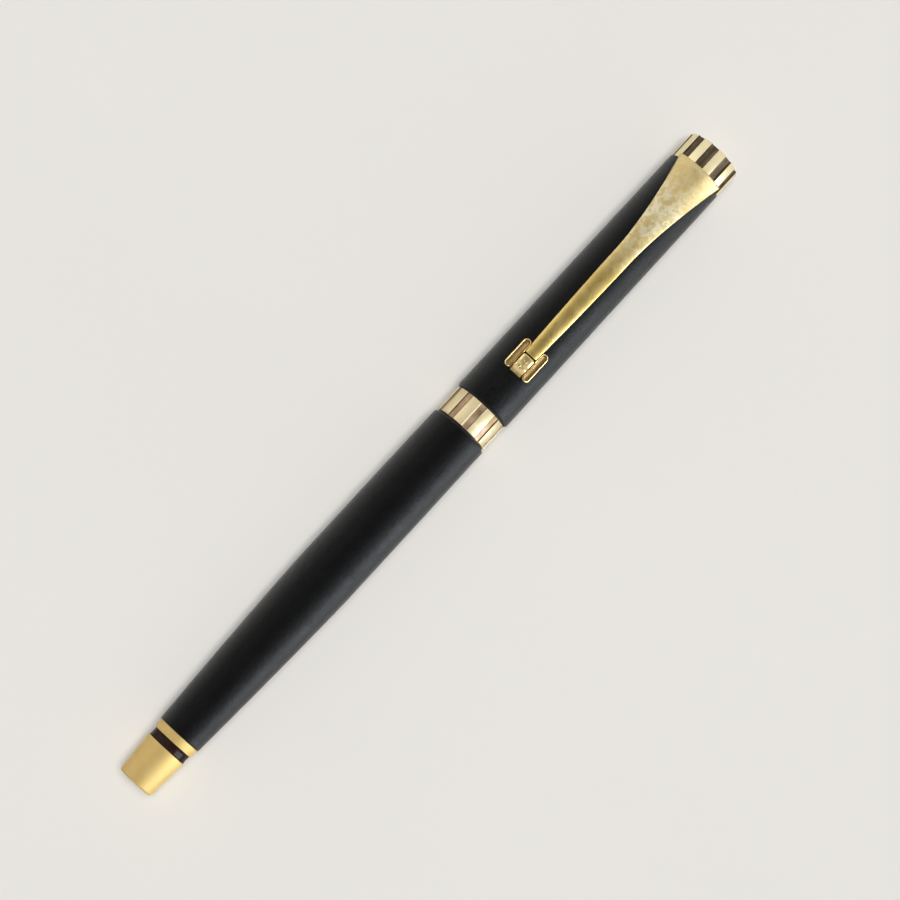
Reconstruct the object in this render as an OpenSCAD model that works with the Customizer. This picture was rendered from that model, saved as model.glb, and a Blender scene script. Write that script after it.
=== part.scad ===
// Capped rollerball pen: a tapered barrel, a push-on cap with a pocket clip, a grip section
// that screws into the barrel, and a long rollerball refill with a spring behind it.
// The pen lies along X on the plane Z = 0, with its crown towards +X and its clip towards +Z.
// Radii are built up outwards from the refill. Places along the pen (u_ values) count from the
// finial's end, in millimetres.

/* [Refill] */
// Length of the refill, from its end plug to its writing ball
refill_l = 110.6; // [100:0.1:125]
// Outer diameter of the refill's reservoir
refill_d = 6.1; // [5.6:0.1:7]
// Wall of the reservoir tube
reservoir_wall = 0.4; // [0.3:0.05:0.6]
// Length of the front housing's thick part
housing_l = 8; // [6:0.5:12]
// Length from the housing's shoulder to the writing ball
refill_nose_l = 14; // [13:0.1:16]
// Diameter of the housing's neck
neck_d = 3.9; // [3.4:0.1:4.4]
// Length of the steel tip ahead of the neck
tip_l = 6.6; // [6:0.1:7.5]
// Diameter of the steel tip
tip_d = 2.3; // [2:0.1:2.6]
// Length of the steel tip's cone
tip_cone_l = 1.8; // [1.4:0.1:2.4]
// Diameter of the writing ball
ball_d = 0.7; // [0.5:0.05:1]
// Flange of the end plug
plug_flange_l = 1; // [0.8:0.1:1.5]
// Length of the end plug inside the reservoir
plug_l = 3; // [2:0.1:5]
// Diameter of the ink feed rod
feed_d = 1.2; // [1:0.1:1.4]

/* [Barrel] */
// Length of the barrel tube
barrel_l = 65.4; // [56:0.1:80]
// Gap between the refill and the barrel's bore
barrel_gap = 0.4; // [0.3:0.05:0.6]
// Wall of the barrel at its tail
tail_wall = 0.5; // [0.45:0.01:0.8]
// Wall of the barrel outside its threaded bush
mouth_wall = 0.76; // [0.65:0.01:1]
// Rise of the barrel's fullest stretch above its mouth
barrel_swell = 0.04; // [0.02:0.01:0.2]
// Length of the taper that leads up to the fullest stretch
taper_l = 34.5; // [25:0.5:40]
// Fullness of the taper, where 1 is a plain cone
taper_power = 1.35; // [1.1:0.05:1.8]
// Length of the fullest stretch, which is a true cylinder
belly_l = 15.5; // [10:0.5:18]
// Rounding of the barrel's mouth
mouth_round = 0.55; // [0.3:0.05:0.6]
// Length of the threaded bush in the barrel's mouth
bush_l = 8; // [7:0.1:10]
// Wall of the threaded bush
bush_wall = 0.6; // [0.5:0.05:0.8]

/* [Tail] */
// Length of the finial's visible head
finial_l = 7.2; // [6.5:0.1:9]
// Length of the dark band
tail_band_l = 1.5; // [1:0.1:2.5]
// Length of the gold tail ring
tail_ring_l = 1.5; // [1:0.1:2.5]
// Length of the tail ring's spigot inside the barrel
ring_spigot_l = 2.7; // [2:0.1:4]
// Step in radius from the barrel down to the tail ring
ring_step = 0.12; // [0.05:0.01:0.2]
// Taper in radius along the tail ring
ring_taper = 0.15; // [0.05:0.01:0.25]
// Step in radius from the tail ring down to the finial
finial_step = 0.05; // [0:0.01:0.1]
// Taper in radius along the finial
finial_taper = 0.45; // [0.2:0.05:0.6]
// Depth of the dark band below the tail ring
tail_band_depth = 0.17; // [0.1:0.01:0.25]
// Rounding of the finial's end edge
finial_round = 0.35; // [0.2:0.05:0.5]
// Radius of the finial's threaded stud
stud_r = 2.75; // [2.6:0.05:2.85]
// Radius of the spring's bore in the finial
spring_bore_r = 2.1; // [2:0.05:2.2]
// Thickness of the finial's end behind the spring
finial_end_l = 5.3; // [4:0.1:5.8]

/* [Spring] */
// Mean radius of the refill spring
spring_r = 1.65; // [1.5:0.05:1.75]
// Diameter of the spring's wire
wire_d = 0.4; // [0.3:0.05:0.5]
// Turns of the spring, with one closed turn at each end
spring_turns = 8; // [6:1:9]
// Distance that the refill can be pushed back against its spring
float_travel = 1.2; // [0.6:0.1:1.6]
// Room left behind the refill at the end of that travel
float_room = 0.5; // [0.3:0.1:1]

/* [Grip section] */
// Gap between the refill and the section's bore
section_gap = 0.15; // [0.1:0.05:0.25]
// Wall of the threaded joint, at its crests
joint_wall = 0.5; // [0.4:0.05:0.7]
// Length of the joint's thread
thread_l = 5.7; // [5:0.1:7]
// Pitch of the thread
thread_pitch = 0.8; // [0.6:0.05:1]
// Depth of the thread
thread_depth = 0.22; // [0.15:0.01:0.25]
// Clearance between the thread's crests and the bush
thread_gap = 0.05; // [0.03:0.01:0.1]
// Length of the joint inside the grip
joint_seat_l = 6; // [5:0.1:8]
// Length of the clutch ring
clutch_l = 1.2; // [1:0.1:2]
// Rise of the clutch ring above the grip
clutch_rise = 0.1; // [0.05:0.01:0.15]
// Wall of the grip over the joint
grip_wall = 0.35; // [0.3:0.01:0.5]
// Taper in radius along the grip
grip_taper = 0.3; // [0.15:0.01:0.4]
// Length of the nose cone ahead of the grip
nose_l = 6.5; // [6:0.1:7]
// Length of the nose cone's spigot inside the grip
nose_spigot_l = 3.9; // [3:0.1:5]
// Wall of the grip over the nose cone's spigot
nose_wall = 0.4; // [0.3:0.05:0.5]
// Wall of the nose cone at its front
nose_front_wall = 0.4; // [0.3:0.05:0.6]
// Clearance round the refill's neck and tip
nose_gap = 0.1; // [0.05:0.01:0.15]

/* [Cap] */
// Length of the fluted lip band
band_l = 5.45; // [4:0.05:8]
// Depth of the lip band below the barrel
band_step = 0.28; // [0.2:0.01:0.35]
// Flutes round the lip band and round the crown
flutes = 10; // [8:1:14]
// Width of a lip band flute
band_flute_w = 1.3; // [0.8:0.05:1.4]
// Depth of a lip band flute
band_flute_depth = 0.22; // [0.1:0.01:0.25]
// Length of the lip band's spigot inside the cap tube
band_spigot_l = 4; // [3:0.1:6]
// Running clearance of the cap over the clutch ring
cap_gap = 0.1; // [0.06:0.01:0.2]
// Wall of the liner
liner_wall = 0.33; // [0.3:0.01:0.5]
// Height of the snap ridge inside the lip band
snap_rise = 0.05; // [0.02:0.01:0.06]
// Taper in radius along the cap tube
cap_taper = 0.11; // [0.05:0.01:0.2]
// Rounding of the cap tube's mouth
cap_round = 0.3; // [0.1:0.05:0.4]
// Gap between the closed cap and the barrel
seat_gap = 0.05; // [0.03:0.01:0.1]
// Room between the writing ball and the liner's end wall
tip_room = 0.6; // [0.3:0.1:1.5]
// Thickness of the liner's end wall
liner_end_l = 0.9; // [0.6:0.1:1.5]
// Length of the clip bush
clip_bush_l = 4.5; // [4:0.1:6]
// Length of the fluted crown
crown_l = 5.0; // [4:0.1:8]
// Depth of the crown below the cap tube
crown_step = 0.055; // [0:0.005:0.15]
// Length of the crown's spigot inside the cap tube
crown_spigot_l = 0.8; // [0.6:0.1:1.2]
// Width of a crown flute at its rim
crown_flute_w = 1.6; // [1.2:0.05:1.8]
// Depth of a crown flute
crown_flute_depth = 0.5; // [0.3:0.05:0.6]
// Chamfer of the crown's end
crown_chamfer = 0.25; // [0.1:0.05:0.5]
// Radius of the crown screw's shank
screw_r = 1.5; // [1.2:0.1:1.7]
// Radius of the crown screw's head
screw_head_r = 2.3; // [2:0.1:2.6]
// Thickness of the crown screw's head
screw_head_l = 1.2; // [1:0.1:1.5]
// Depth of the crown screw in the crown
screw_reach = 3; // [2:0.1:3.4]

/* [Clip] */
// Length of the clip, from its wide end to the end of its shoe
clip_l = 44.85; // [38:0.05:48]
// Reach of the clip's wide end over the crown
clip_overlap = 0.55; // [0.05:0.05:1]
// Width of the clip's wide end
clip_root_w = 8.4; // [6:0.1:8.6]
// Width of the clip's slim arm where the flare ends
clip_arm_w = 3.3; // [2.8:0.1:4]
// Width of the clip's arm at the shoe
clip_end_w = 2.3; // [2:0.1:2.6]
// Length of the flare
flare_l = 19; // [14:0.5:24]
// Thickness of the clip
strap_t = 0.7; // [0.5:0.05:0.9]
// Height of the clip's arm above the cap
strap_gap = 0.9; // [0.6:0.05:1.5]
// Height of the clip's wide end above the cap
lip_gap = 0.12; // [0.1:0.01:0.2]
// Length of the dished lip at the wide end
lip_l = 2; // [1.5:0.1:3]
// Depth of the dish behind the lip
lip_dish = 0.28; // [0.1:0.01:0.35]
// Distance from the wide end to the hook's front face
hook_back = 2.85; // [2.25:0.05:3.05]
// Length of the hook's stem
hook_l = 1.2; // [1:0.1:1.4]
// Reach of the hook's foot under the cap tube
hook_foot_l = 0.8; // [0.5:0.1:1]
// Width of the hook
hook_w = 2.6; // [2:0.1:3]
// Thickness of the hook's foot
hook_foot_t = 0.5; // [0.4:0.05:0.6]
// Room round the hook, so that the clip can lift
hook_room = 0.35; // [0.3:0.05:0.5]
// Length of the shoe
shoe_l = 5.6; // [4.5:0.1:7]
// Width of the shoe
shoe_w = 5.1; // [4.6:0.1:6]
// Corner radius of the shoe
shoe_round = 0.8; // [0.5:0.1:1]
// Thickness of the shoe's base
shoe_base_t = 0.42; // [0.3:0.02:0.5]
// Height of the shoe's rims above the cap
shoe_rim_h = 1.1; // [0.8:0.05:1.4]
// Width of the shoe's rims
shoe_rim_w = 0.45; // [0.3:0.05:0.6]
// Length of the block between the shoe's wings
shoe_block_l = 3.5; // [2.5:0.1:4]
// Width of that block
shoe_block_w = 2.3; // [2:0.1:2.6]
// Height of that block above the cap
shoe_block_h = 1.2; // [0.9:0.05:1.5]
// Clearance between the shoe and the cap
shoe_gap = 0.03; // [0.02:0.01:0.1]

/* [Hidden] */

$fn = 96;

black_coat = "#1c1c1f";
gold = "#d9b468";
satin_gold = "#cdb68a";
dark_gloss = "#1f1712";
brass = "#b08d4a";
steel = "#b8bcc2";
white_plastic = "#e8e6df";
black_plastic = "#17171a";
ink_blue = "#1b2a63";

// Small values that several pieces share
thread_relief_l = 0.6;   // plain stretch ahead of the thread
thread_lead = 0.3;       // chamfer at a thread's start
core_front_room = 1;     // room between the ink core and the housing's plug
feed_seat_l = 5;         // length of the feed rod inside the ink core
housing_plug_l = 4;      // length of the housing's plug inside the reservoir
tip_seat_l = 2.5;        // length of the steel tip inside the housing
ball_gap = 0.02;         // clearance round the writing ball
tip_rim = 0.14;          // reach of the ball seat's rim past the ball's middle
shoe_seam = 0.2;         // gap between the shoe's block and the arm
taper_steps = 24;        // rings along a taper
round_steps = 6;         // steps round a small edge
over = 1;                // reach of a cutting solid past what it cuts
prism_h = 12;            // height of the vertical prisms that trim the clip
stud_room = 0.2;         // gap between the stud's end and the tail ring's inner end
thread_crest = 0.12;     // half of a thread's crest, as a share of the pitch
nose_power = 1.25;       // fullness of the nose cone, where 1 is a plain cone
waist_power = 1.6;       // shift of the grip's waist towards its front, where 1 is none
core_back_room = 1;      // room between the end plug and the ink core
screw_clear = 0.1;       // clearance round the crown screw
band_floor_share = 0.6;  // floor of a lip band flute, as a share of its width
crown_floor_share = 0.8; // floor of a crown flute, as a share of its width
crown_phase = -10;       // turn of the crown's first flute from the top, in degrees
flare_power = 1.6;       // hollowness of the flare, where 1 is a plain wedge
rise_share = 0.6;        // length of the clip's rise, as a share of the flare
drop_start = 0.72;       // start of the clip's drop to the shoe, as a share of the strap
drop_share = 0.24;       // length of that drop, as a share of the strap
lip_flat = 0.15;         // flat part of the lip, as a share of its length

// Radii, from the refill outwards
refill_r = refill_d / 2;
reservoir_r = refill_r - reservoir_wall;
section_bore_r = refill_r + section_gap;
thread_r = section_bore_r + joint_wall;
bush_bore_r = thread_r + thread_gap;
bush_r = bush_bore_r + bush_wall;
mouth_r = bush_r + mouth_wall;
belly_r = mouth_r + barrel_swell;
barrel_bore_r = refill_r + barrel_gap;
tail_r = barrel_bore_r + tail_wall;
ring_r = tail_r - ring_step;
ring_tail_r = ring_r - ring_taper;
tail_band_r = ring_tail_r - tail_band_depth;
finial_r = ring_tail_r - finial_step;
finial_tail_r = finial_r - finial_taper;
grip_r = thread_r + grip_wall;
grip_front_r = grip_r - grip_taper;
clutch_r = grip_r + clutch_rise;
liner_bore_r = clutch_r + cap_gap;
cap_bore_r = liner_bore_r + liner_wall;
band_r = mouth_r - band_step;
cap_top_r = mouth_r - cap_taper;
crown_r = cap_top_r - crown_step;
neck_r = neck_d / 2;
tip_r = tip_d / 2;
ball_r = ball_d / 2;
feed_r = feed_d / 2;
nose_spigot_r = grip_front_r - nose_wall;
nose_bore_r = neck_r + nose_gap;
nose_hole_r = tip_r + nose_gap;
nose_front_r = nose_hole_r + nose_front_wall;
axis_h = belly_r;

// Places along the pen
u_tail_band = finial_l;
u_tail_ring = u_tail_band + tail_band_l;
u_barrel = u_tail_ring + tail_ring_l;
u_mouth = u_barrel + barrel_l;
u_spigot_end = u_barrel + ring_spigot_l;
u_refill = u_spigot_end + float_travel + float_room;
u_ball_end = u_refill + refill_l;
u_ball = u_ball_end - ball_r;
u_shoulder = u_ball_end - refill_nose_l;
u_housing = u_shoulder - housing_l;
u_neck_end = u_ball_end - tip_l;
u_tip_seat = u_neck_end - tip_seat_l;
u_core_end = u_housing - housing_plug_l - core_front_room;
u_feed = u_core_end - feed_seat_l;
u_grip_front = u_shoulder + nose_spigot_l;
u_nose_end = u_grip_front + nose_l;
u_bush = u_mouth - bush_l;
u_clutch = u_mouth + seat_gap;
u_grip = u_clutch + clutch_l;
u_thread_end = u_mouth - thread_relief_l;
u_thread = u_thread_end - thread_l;
u_joint_end = u_grip + joint_seat_l;
u_band = u_mouth + seat_gap;
u_cap = u_mouth + band_l;
u_band_spigot_end = u_cap + band_spigot_l;
u_liner_wall = u_ball_end + tip_room;
u_liner_end = u_liner_wall + liner_end_l;
u_clip_bush = u_liner_end;
u_clip_bush_end = u_clip_bush + clip_bush_l;
u_crown = u_clip_bush_end + crown_spigot_l;
pen_l = u_crown + crown_l;
u_clip = u_crown + clip_overlap;
u_shoe = u_clip - clip_l;
u_strap_end = u_shoe + shoe_block_l + shoe_seam;
strap_l = u_clip - u_strap_end;
u_hook = u_clip - hook_back - hook_l;

// Points of a quarter circle round [r, u], from angle a0 to a1, for a small rounded edge
function edge_arc(r, u, size, a0, a1) =
  [for (i = [0 : round_steps])
    let (a = a0 + (a1 - a0) * i / round_steps)
    [r + size * cos(a), u + size * sin(a)]];

// Smooth step from 0 to 1
function ease(x) = x <= 0 ? 0 : x >= 1 ? 1 : x * x * (3 - 2 * x);

// Grooves of a thread from u0 on, cut by depth from radius r (outwards where depth is negative)
function thread_points(r, depth, u0, length) =
  let (
    count = floor(length / thread_pitch),
    shares = [thread_crest, 0.5, 1 - thread_crest]
  )
  [for (i = [0 : count - 1], k = [0 : 2])
    [k == 1 ? r - depth : r, u0 + (i + shares[k]) * thread_pitch]];

// Radius of the cap tube's outside at a place along the pen
function cap_r(u) = mouth_r - cap_taper * (u - u_cap) / (u_crown - u_cap);

// Turns a profile of [radius, place along the pen] points round the pen's axis
module turned(points) {
  translate([-pen_l / 2, 0, axis_h])
    rotate([0, 90, 0])
      rotate_extrude()
        polygon(points);
}

// A plain tube or, with no bore, a rod between two places along the pen
module tube(u0, u1, r_out, r_in = 0) {
  turned([[r_in, u0], [r_out, u0], [r_out, u1], [r_in, u1]]);
}

// Flute cutters round the pen's axis; phase turns the first one from the top towards -Y
module flute_cutters(u0, u1, r, w, depth, floor_share, phase) {
  translate([u0 - pen_l / 2, 0, axis_h])
    rotate([0, 90, 0])
      for (i = [0 : flutes - 1])
        rotate([0, 0, 180 + phase + i * 360 / flutes])
          linear_extrude(height = u1 - u0)
            polygon([
              [r - depth, -w * floor_share / 2],
              [r, -w / 2],
              [r + over, -w / 2],
              [r + over, w / 2],
              [r, w / 2],
              [r - depth, w * floor_share / 2]
            ]);
}

// A vertical prism over a plan outline given in [place along the pen, y]
module plan_prism() {
  translate([-pen_l / 2, 0, axis_h + over])
    linear_extrude(height = prism_h)
      children();
}

// ---- Barrel ----

module tail_finial() {
  bore_end = u_spigot_end - stud_room;
  color(satin_gold)
    turned(concat(
      [[0, 0]],
      edge_arc(finial_tail_r - finial_round, finial_round, finial_round, -90, 0),
      [
        [finial_r, finial_l],
        [stud_r, finial_l],
        [stud_r, bore_end],
        [spring_bore_r, bore_end],
        [spring_bore_r, finial_end_l],
        [0, finial_end_l]
      ]
    ));
}

module tail_band() {
  // Slightly hollow across its width
  color(dark_gloss)
    turned([
      [stud_r + thread_gap, u_tail_band],
      [tail_band_r + tail_band_depth / 2, u_tail_band],
      [tail_band_r, u_tail_band + tail_band_l / 4],
      [tail_band_r, u_tail_ring - tail_band_l / 4],
      [tail_band_r + tail_band_depth / 2, u_tail_ring],
      [stud_r + thread_gap, u_tail_ring]
    ]);
}

module tail_ring() {
  color(gold)
    turned([
      [stud_r + thread_gap, u_tail_ring],
      [ring_tail_r, u_tail_ring],
      [ring_r, u_barrel],
      [barrel_bore_r, u_barrel],
      [barrel_bore_r, u_spigot_end],
      [stud_r + thread_gap, u_spigot_end]
    ]);
}

module barrel_tube() {
  u_belly = u_barrel + taper_l;
  taper = [for (i = [0 : taper_steps])
    let (x = i / taper_steps)
    [belly_r - (belly_r - tail_r) * pow(1 - x, taper_power), u_barrel + taper_l * x]];
  color(black_coat)
    turned(concat(
      [[barrel_bore_r, u_barrel]],
      taper,
      [[belly_r, u_belly + belly_l]],
      edge_arc(mouth_r - mouth_round, u_mouth - mouth_round, mouth_round, 0, 90),
      [
        [bush_r, u_mouth],
        [bush_r, u_bush],
        [barrel_bore_r, u_bush]
      ]
    ));
}

module barrel_bush() {
  color(brass)
    turned(concat(
      [
        [bush_r, u_bush],
        [bush_r, u_mouth],
        [bush_bore_r + thread_lead, u_mouth],
        [bush_bore_r, u_mouth - thread_lead]
      ],
      [for (p = thread_points(bush_bore_r, -thread_depth, -u_thread_end, thread_l)) [p[0], -p[1]]],
      [[bush_bore_r, u_bush]]
    ));
}

// ---- Spring ----

// Coil of wire along the pen's axis, seated between the finial's bore and the end plug
module refill_spring() {
  seat = 0.03;
  sides = 8;
  steps_per_turn = 18;
  wire_r = wire_d / 2;
  closed_share = 1.08;
  length = u_refill - finial_end_l - 2 * seat - wire_d;
  closed_pitch = wire_d * closed_share;
  open_pitch = (length - 2 * closed_pitch) / (spring_turns - 2);
  rings = spring_turns * steps_per_turn;
  function rise(t) =
    t < 1 ? closed_pitch * t
    : t > spring_turns - 1 ? length - closed_pitch * (spring_turns - t)
    : closed_pitch + open_pitch * (t - 1);
  points = [for (i = [0 : rings], k = [0 : sides - 1])
    let (
      t = i / steps_per_turn,
      a = 360 * t,
      b = 360 * k / sides,
      r = spring_r + wire_r * cos(b)
    )
    [r * cos(a), r * sin(a), rise(t) + wire_r * sin(b)]];
  skin = [for (i = [0 : rings - 1], k = [0 : sides - 1])
    let (n = (k + 1) % sides)
    [i * sides + k, i * sides + n, (i + 1) * sides + n, (i + 1) * sides + k]];
  start = [for (k = [sides - 1 : -1 : 0]) k];
  finish = [for (k = [0 : sides - 1]) rings * sides + k];
  color(steel)
    translate([finial_end_l + seat + wire_r - pen_l / 2, 0, axis_h])
      rotate([0, 90, 0])
        polyhedron(points = points, faces = concat(skin, [start, finish]), convexity = 10);
}

// ---- Grip section ----

module section_joint() {
  color(brass)
    turned(concat(
      [
        [section_bore_r, u_thread],
        [thread_r - thread_depth, u_thread]
      ],
      thread_points(thread_r, thread_depth, u_thread, thread_l),
      [
        [thread_r - thread_depth, u_thread_end],
        [thread_r - thread_depth, u_mouth - thread_gap],
        [thread_r, u_mouth - thread_gap],
        [thread_r, u_joint_end],
        [section_bore_r, u_joint_end]
      ]
    ));
}

module clutch_ring() {
  color(gold)
    turned([
      [thread_r, u_clutch],
      [clutch_r - clutch_rise, u_clutch],
      [clutch_r, u_clutch + clutch_l / 4],
      [clutch_r, u_grip - clutch_l / 4],
      [clutch_r - clutch_rise, u_grip],
      [thread_r, u_grip]
    ]);
}

module grip_section() {
  edge = 0.25;
  length = u_grip_front - u_grip;
  waist = [for (i = [0 : taper_steps])
    let (x = i / taper_steps)
    [grip_r - grip_taper * x - grip_taper / 2 * pow(sin(180 * pow(x, waist_power)), 2),
     u_grip + edge + (length - 2 * edge) * x]];
  color(black_coat)
    turned(concat(
      [
        [thread_r, u_grip],
        [grip_r - edge, u_grip]
      ],
      waist,
      [
        [grip_front_r - edge / 2, u_grip_front],
        [nose_spigot_r, u_grip_front],
        [nose_spigot_r, u_shoulder],
        [section_bore_r, u_shoulder],
        [section_bore_r, u_joint_end],
        [thread_r, u_joint_end]
      ]
    ));
}

module nose_cone() {
  u_hole = u_neck_end + nose_gap * 2;
  ogive = [for (i = [0 : round_steps * 2])
    let (x = i / (round_steps * 2))
    [nose_front_r + (grip_front_r - nose_front_r) * (1 - pow(x, nose_power)),
     u_grip_front + nose_l * x]];
  color(gold)
    turned(concat(
      [
        [nose_bore_r, u_shoulder],
        [nose_spigot_r, u_shoulder],
        [nose_spigot_r, u_grip_front]
      ],
      ogive,
      [
        [nose_hole_r, u_nose_end],
        [nose_hole_r, u_hole],
        [nose_bore_r, u_hole]
      ]
    ));
}

// ---- Refill ----

module refill_tube() {
  color(white_plastic)
    tube(u_refill + plug_flange_l, u_housing, refill_r, reservoir_r);
}

module refill_end_plug() {
  nub_r = 1.1;
  nub_l = 0.8;
  color(black_plastic)
    turned([
      [0, u_refill - nub_l],
      [nub_r, u_refill - nub_l],
      [nub_r, u_refill],
      [refill_r, u_refill],
      [refill_r, u_refill + plug_flange_l],
      [reservoir_r, u_refill + plug_flange_l],
      [reservoir_r, u_refill + plug_flange_l + plug_l],
      [0, u_refill + plug_flange_l + plug_l]
    ]);
}

// Fibre core with a hole at its front for the feed rod
module ink_core() {
  core_gap = 0.05;
  core_back = u_refill + plug_flange_l + plug_l + core_back_room;
  color(ink_blue)
    turned([
      [0, core_back],
      [reservoir_r - core_gap, core_back],
      [reservoir_r - core_gap, u_core_end],
      [feed_r, u_core_end],
      [feed_r, u_feed],
      [0, u_feed]
    ]);
}

module feed_rod() {
  color(ink_blue)
    tube(u_feed, u_tip_seat, feed_r);
}

module refill_housing() {
  shoulder_edge = 0.2;
  color(black_plastic)
    turned([
      [feed_r, u_housing - housing_plug_l],
      [reservoir_r, u_housing - housing_plug_l],
      [reservoir_r, u_housing],
      [refill_r, u_housing],
      [refill_r, u_shoulder - shoulder_edge],
      [refill_r - shoulder_edge, u_shoulder],
      [neck_r, u_shoulder],
      [neck_r, u_neck_end - shoulder_edge],
      [neck_r - shoulder_edge, u_neck_end],
      [tip_r, u_neck_end],
      [tip_r, u_tip_seat],
      [feed_r, u_tip_seat]
    ]);
}

// Steel tip, with a seat whose rim closes a little past the ball's middle
module refill_tip() {
  duct_r = ball_r / 2;
  rim_wall = 0.1;
  rim_r = ball_r + rim_wall;
  rim_u = u_ball + tip_rim;
  color(steel)
    difference() {
      turned([
        [duct_r, u_tip_seat],
        [tip_r, u_tip_seat],
        [tip_r, rim_u - tip_cone_l],
        [rim_r, rim_u],
        [duct_r, rim_u]
      ]);
      translate([u_ball - pen_l / 2, 0, axis_h])
        sphere(r = ball_r + ball_gap);
    }
}

module writing_ball() {
  color(steel)
    translate([u_ball - pen_l / 2, 0, axis_h])
      sphere(r = ball_r);
}

// ---- Cap ----

// Box that cuts the hook's window, between two places along the pen and two radii
module hook_window(u0, u1, r0, room) {
  translate([u0 - pen_l / 2, -hook_w / 2 - room, axis_h + r0])
    cube([u1 - u0, hook_w + 2 * room, mouth_r + over - r0]);
}

module cap_tube() {
  color(black_coat)
    difference() {
      turned(concat(
        [[cap_bore_r, u_cap]],
        edge_arc(mouth_r - cap_round, u_cap + cap_round, cap_round, -90, 0),
        [
          [cap_top_r, u_crown],
          [cap_bore_r, u_crown]
        ]
      ));
      hook_window(u_hook - hook_foot_l - hook_room, u_hook + hook_l + hook_room, 0, hook_room);
    }
}

module cap_band() {
  line_l = 0.3;
  line_r = band_r - band_flute_depth;
  ridge_l = 1;
  ridge_slope = 0.3;
  ridge_u = u_grip + clutch_l / 2;
  color(gold)
    difference() {
      turned([
        [liner_bore_r, u_band],
        [line_r, u_band],
        [line_r, u_band + line_l],
        [band_r, u_band + line_l],
        [band_r, u_cap - line_l],
        [line_r, u_cap - line_l],
        [line_r, u_cap],
        [cap_bore_r, u_cap],
        [cap_bore_r, u_band_spigot_end],
        [liner_bore_r, u_band_spigot_end],
        [liner_bore_r, ridge_u + ridge_l],
        [liner_bore_r - snap_rise, ridge_u + ridge_l - ridge_slope],
        [liner_bore_r - snap_rise, ridge_u + ridge_slope],
        [liner_bore_r, ridge_u]
      ]);
      flute_cutters(u_band - over, u_cap, band_r, band_flute_w, band_flute_depth, band_floor_share, 0);
    }
}

module inner_cap() {
  color(black_plastic)
    turned([
      [liner_bore_r, u_band_spigot_end],
      [cap_bore_r, u_band_spigot_end],
      [cap_bore_r, u_liner_end],
      [0, u_liner_end],
      [0, u_liner_wall],
      [liner_bore_r, u_liner_wall]
    ]);
}

module clip_bush() {
  pocket_floor = cap_bore_r - 2 * hook_room - hook_foot_t;
  head_pocket_l = screw_head_l + screw_clear;
  color(brass)
    difference() {
      turned([
        [screw_r + screw_clear, u_clip_bush + head_pocket_l],
        [screw_head_r + screw_clear, u_clip_bush + head_pocket_l],
        [screw_head_r + screw_clear, u_clip_bush],
        [cap_bore_r, u_clip_bush],
        [cap_bore_r, u_clip_bush_end],
        [screw_r + screw_clear, u_clip_bush_end]
      ]);
      hook_window(u_hook - hook_foot_l - hook_room, u_hook + hook_l + hook_room, pocket_floor, hook_room);
    }
}

module crown_screw() {
  slot_w = 0.5;
  slot_depth = 0.5;
  head_u = u_clip_bush + screw_clear;
  color(steel)
    difference() {
      turned([
        [0, head_u],
        [screw_head_r, head_u],
        [screw_head_r, head_u + screw_head_l],
        [screw_r, head_u + screw_head_l],
        [screw_r, u_crown + screw_reach],
        [0, u_crown + screw_reach]
      ]);
      translate([head_u - over - pen_l / 2, -screw_head_r - over, axis_h - slot_w / 2])
        cube([slot_depth + over, 2 * (screw_head_r + over), slot_w]);
    }
}

module cap_crown() {
  color(gold)
    difference() {
      turned([
        [screw_r, u_clip_bush_end],
        [cap_bore_r, u_clip_bush_end],
        [cap_bore_r, u_crown],
        [crown_r, u_crown],
        [crown_r, pen_l - crown_chamfer],
        [crown_r - crown_chamfer, pen_l],
        [0, pen_l],
        [0, u_crown + screw_reach],
        [screw_r, u_crown + screw_reach]
      ]);
      flute_cutters(
        u_crown, pen_l + over, crown_r, crown_flute_w, crown_flute_depth, crown_floor_share, crown_phase
      );
    }
}

// ---- Clip ----

// Height of the strap's underside above the cap, at distance d from the wide end
function strap_lift(d) =
  let (
    root = ease((d - lip_l) / (flare_l * rise_share)),
    tip = ease((d - strap_l * drop_start) / (strap_l * drop_share))
  )
  lip_gap + (strap_gap - lip_gap) * root - (strap_gap - shoe_base_t - shoe_gap) * tip;

// Depth of the dish behind the lip
function lip_sink(d) =
  d < lip_l * lip_flat || d > lip_l ? 0
  : lip_dish * pow(sin(180 * (d - lip_l * lip_flat) / (lip_l * (1 - lip_flat))), 2);

// Half width of the strap at distance d from the wide end
function strap_half(d) =
  d < flare_l
    ? (clip_arm_w + (clip_root_w - clip_arm_w) * pow(1 - d / flare_l, flare_power)) / 2
    : (clip_arm_w - (clip_arm_w - clip_end_w) * pow((d - flare_l) / (strap_l - flare_l), flare_power)) / 2;

module pocket_clip() {
  lip_steps = 10;
  arm_steps = 26;
  stations = concat(
    [for (i = [0 : lip_steps]) lip_l * i / lip_steps],
    [for (i = [1 : arm_steps]) lip_l + (strap_l - lip_l) * i / arm_steps]
  );
  count = len(stations);
  back = [for (i = [count - 1 : -1 : 0]) stations[i]];
  profile = concat(
    [for (d = stations) [cap_r(u_clip - d) + strap_lift(d), u_clip - d]],
    [for (d = back) [cap_r(u_clip - d) + strap_lift(d) + strap_t - lip_sink(d), u_clip - d]]
  );
  outline = concat(
    [for (d = stations) [u_clip - d, strap_half(d)]],
    [for (d = back) [u_clip - d, -strap_half(d)]]
  );
  foot_top = cap_bore_r - hook_room;
  stem_top = cap_top_r + lip_gap + strap_t / 2;
  color(gold) {
    intersection() {
      turned(profile);
      plan_prism() polygon(outline);
    }
    translate([u_hook - pen_l / 2, -hook_w / 2, axis_h + foot_top - hook_foot_t])
      cube([hook_l, hook_w, stem_top - foot_top + hook_foot_t]);
    translate([u_hook - hook_foot_l - pen_l / 2, -hook_w / 2, axis_h + foot_top - hook_foot_t])
      cube([hook_foot_l + hook_l, hook_w, hook_foot_t]);
  }
}

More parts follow.
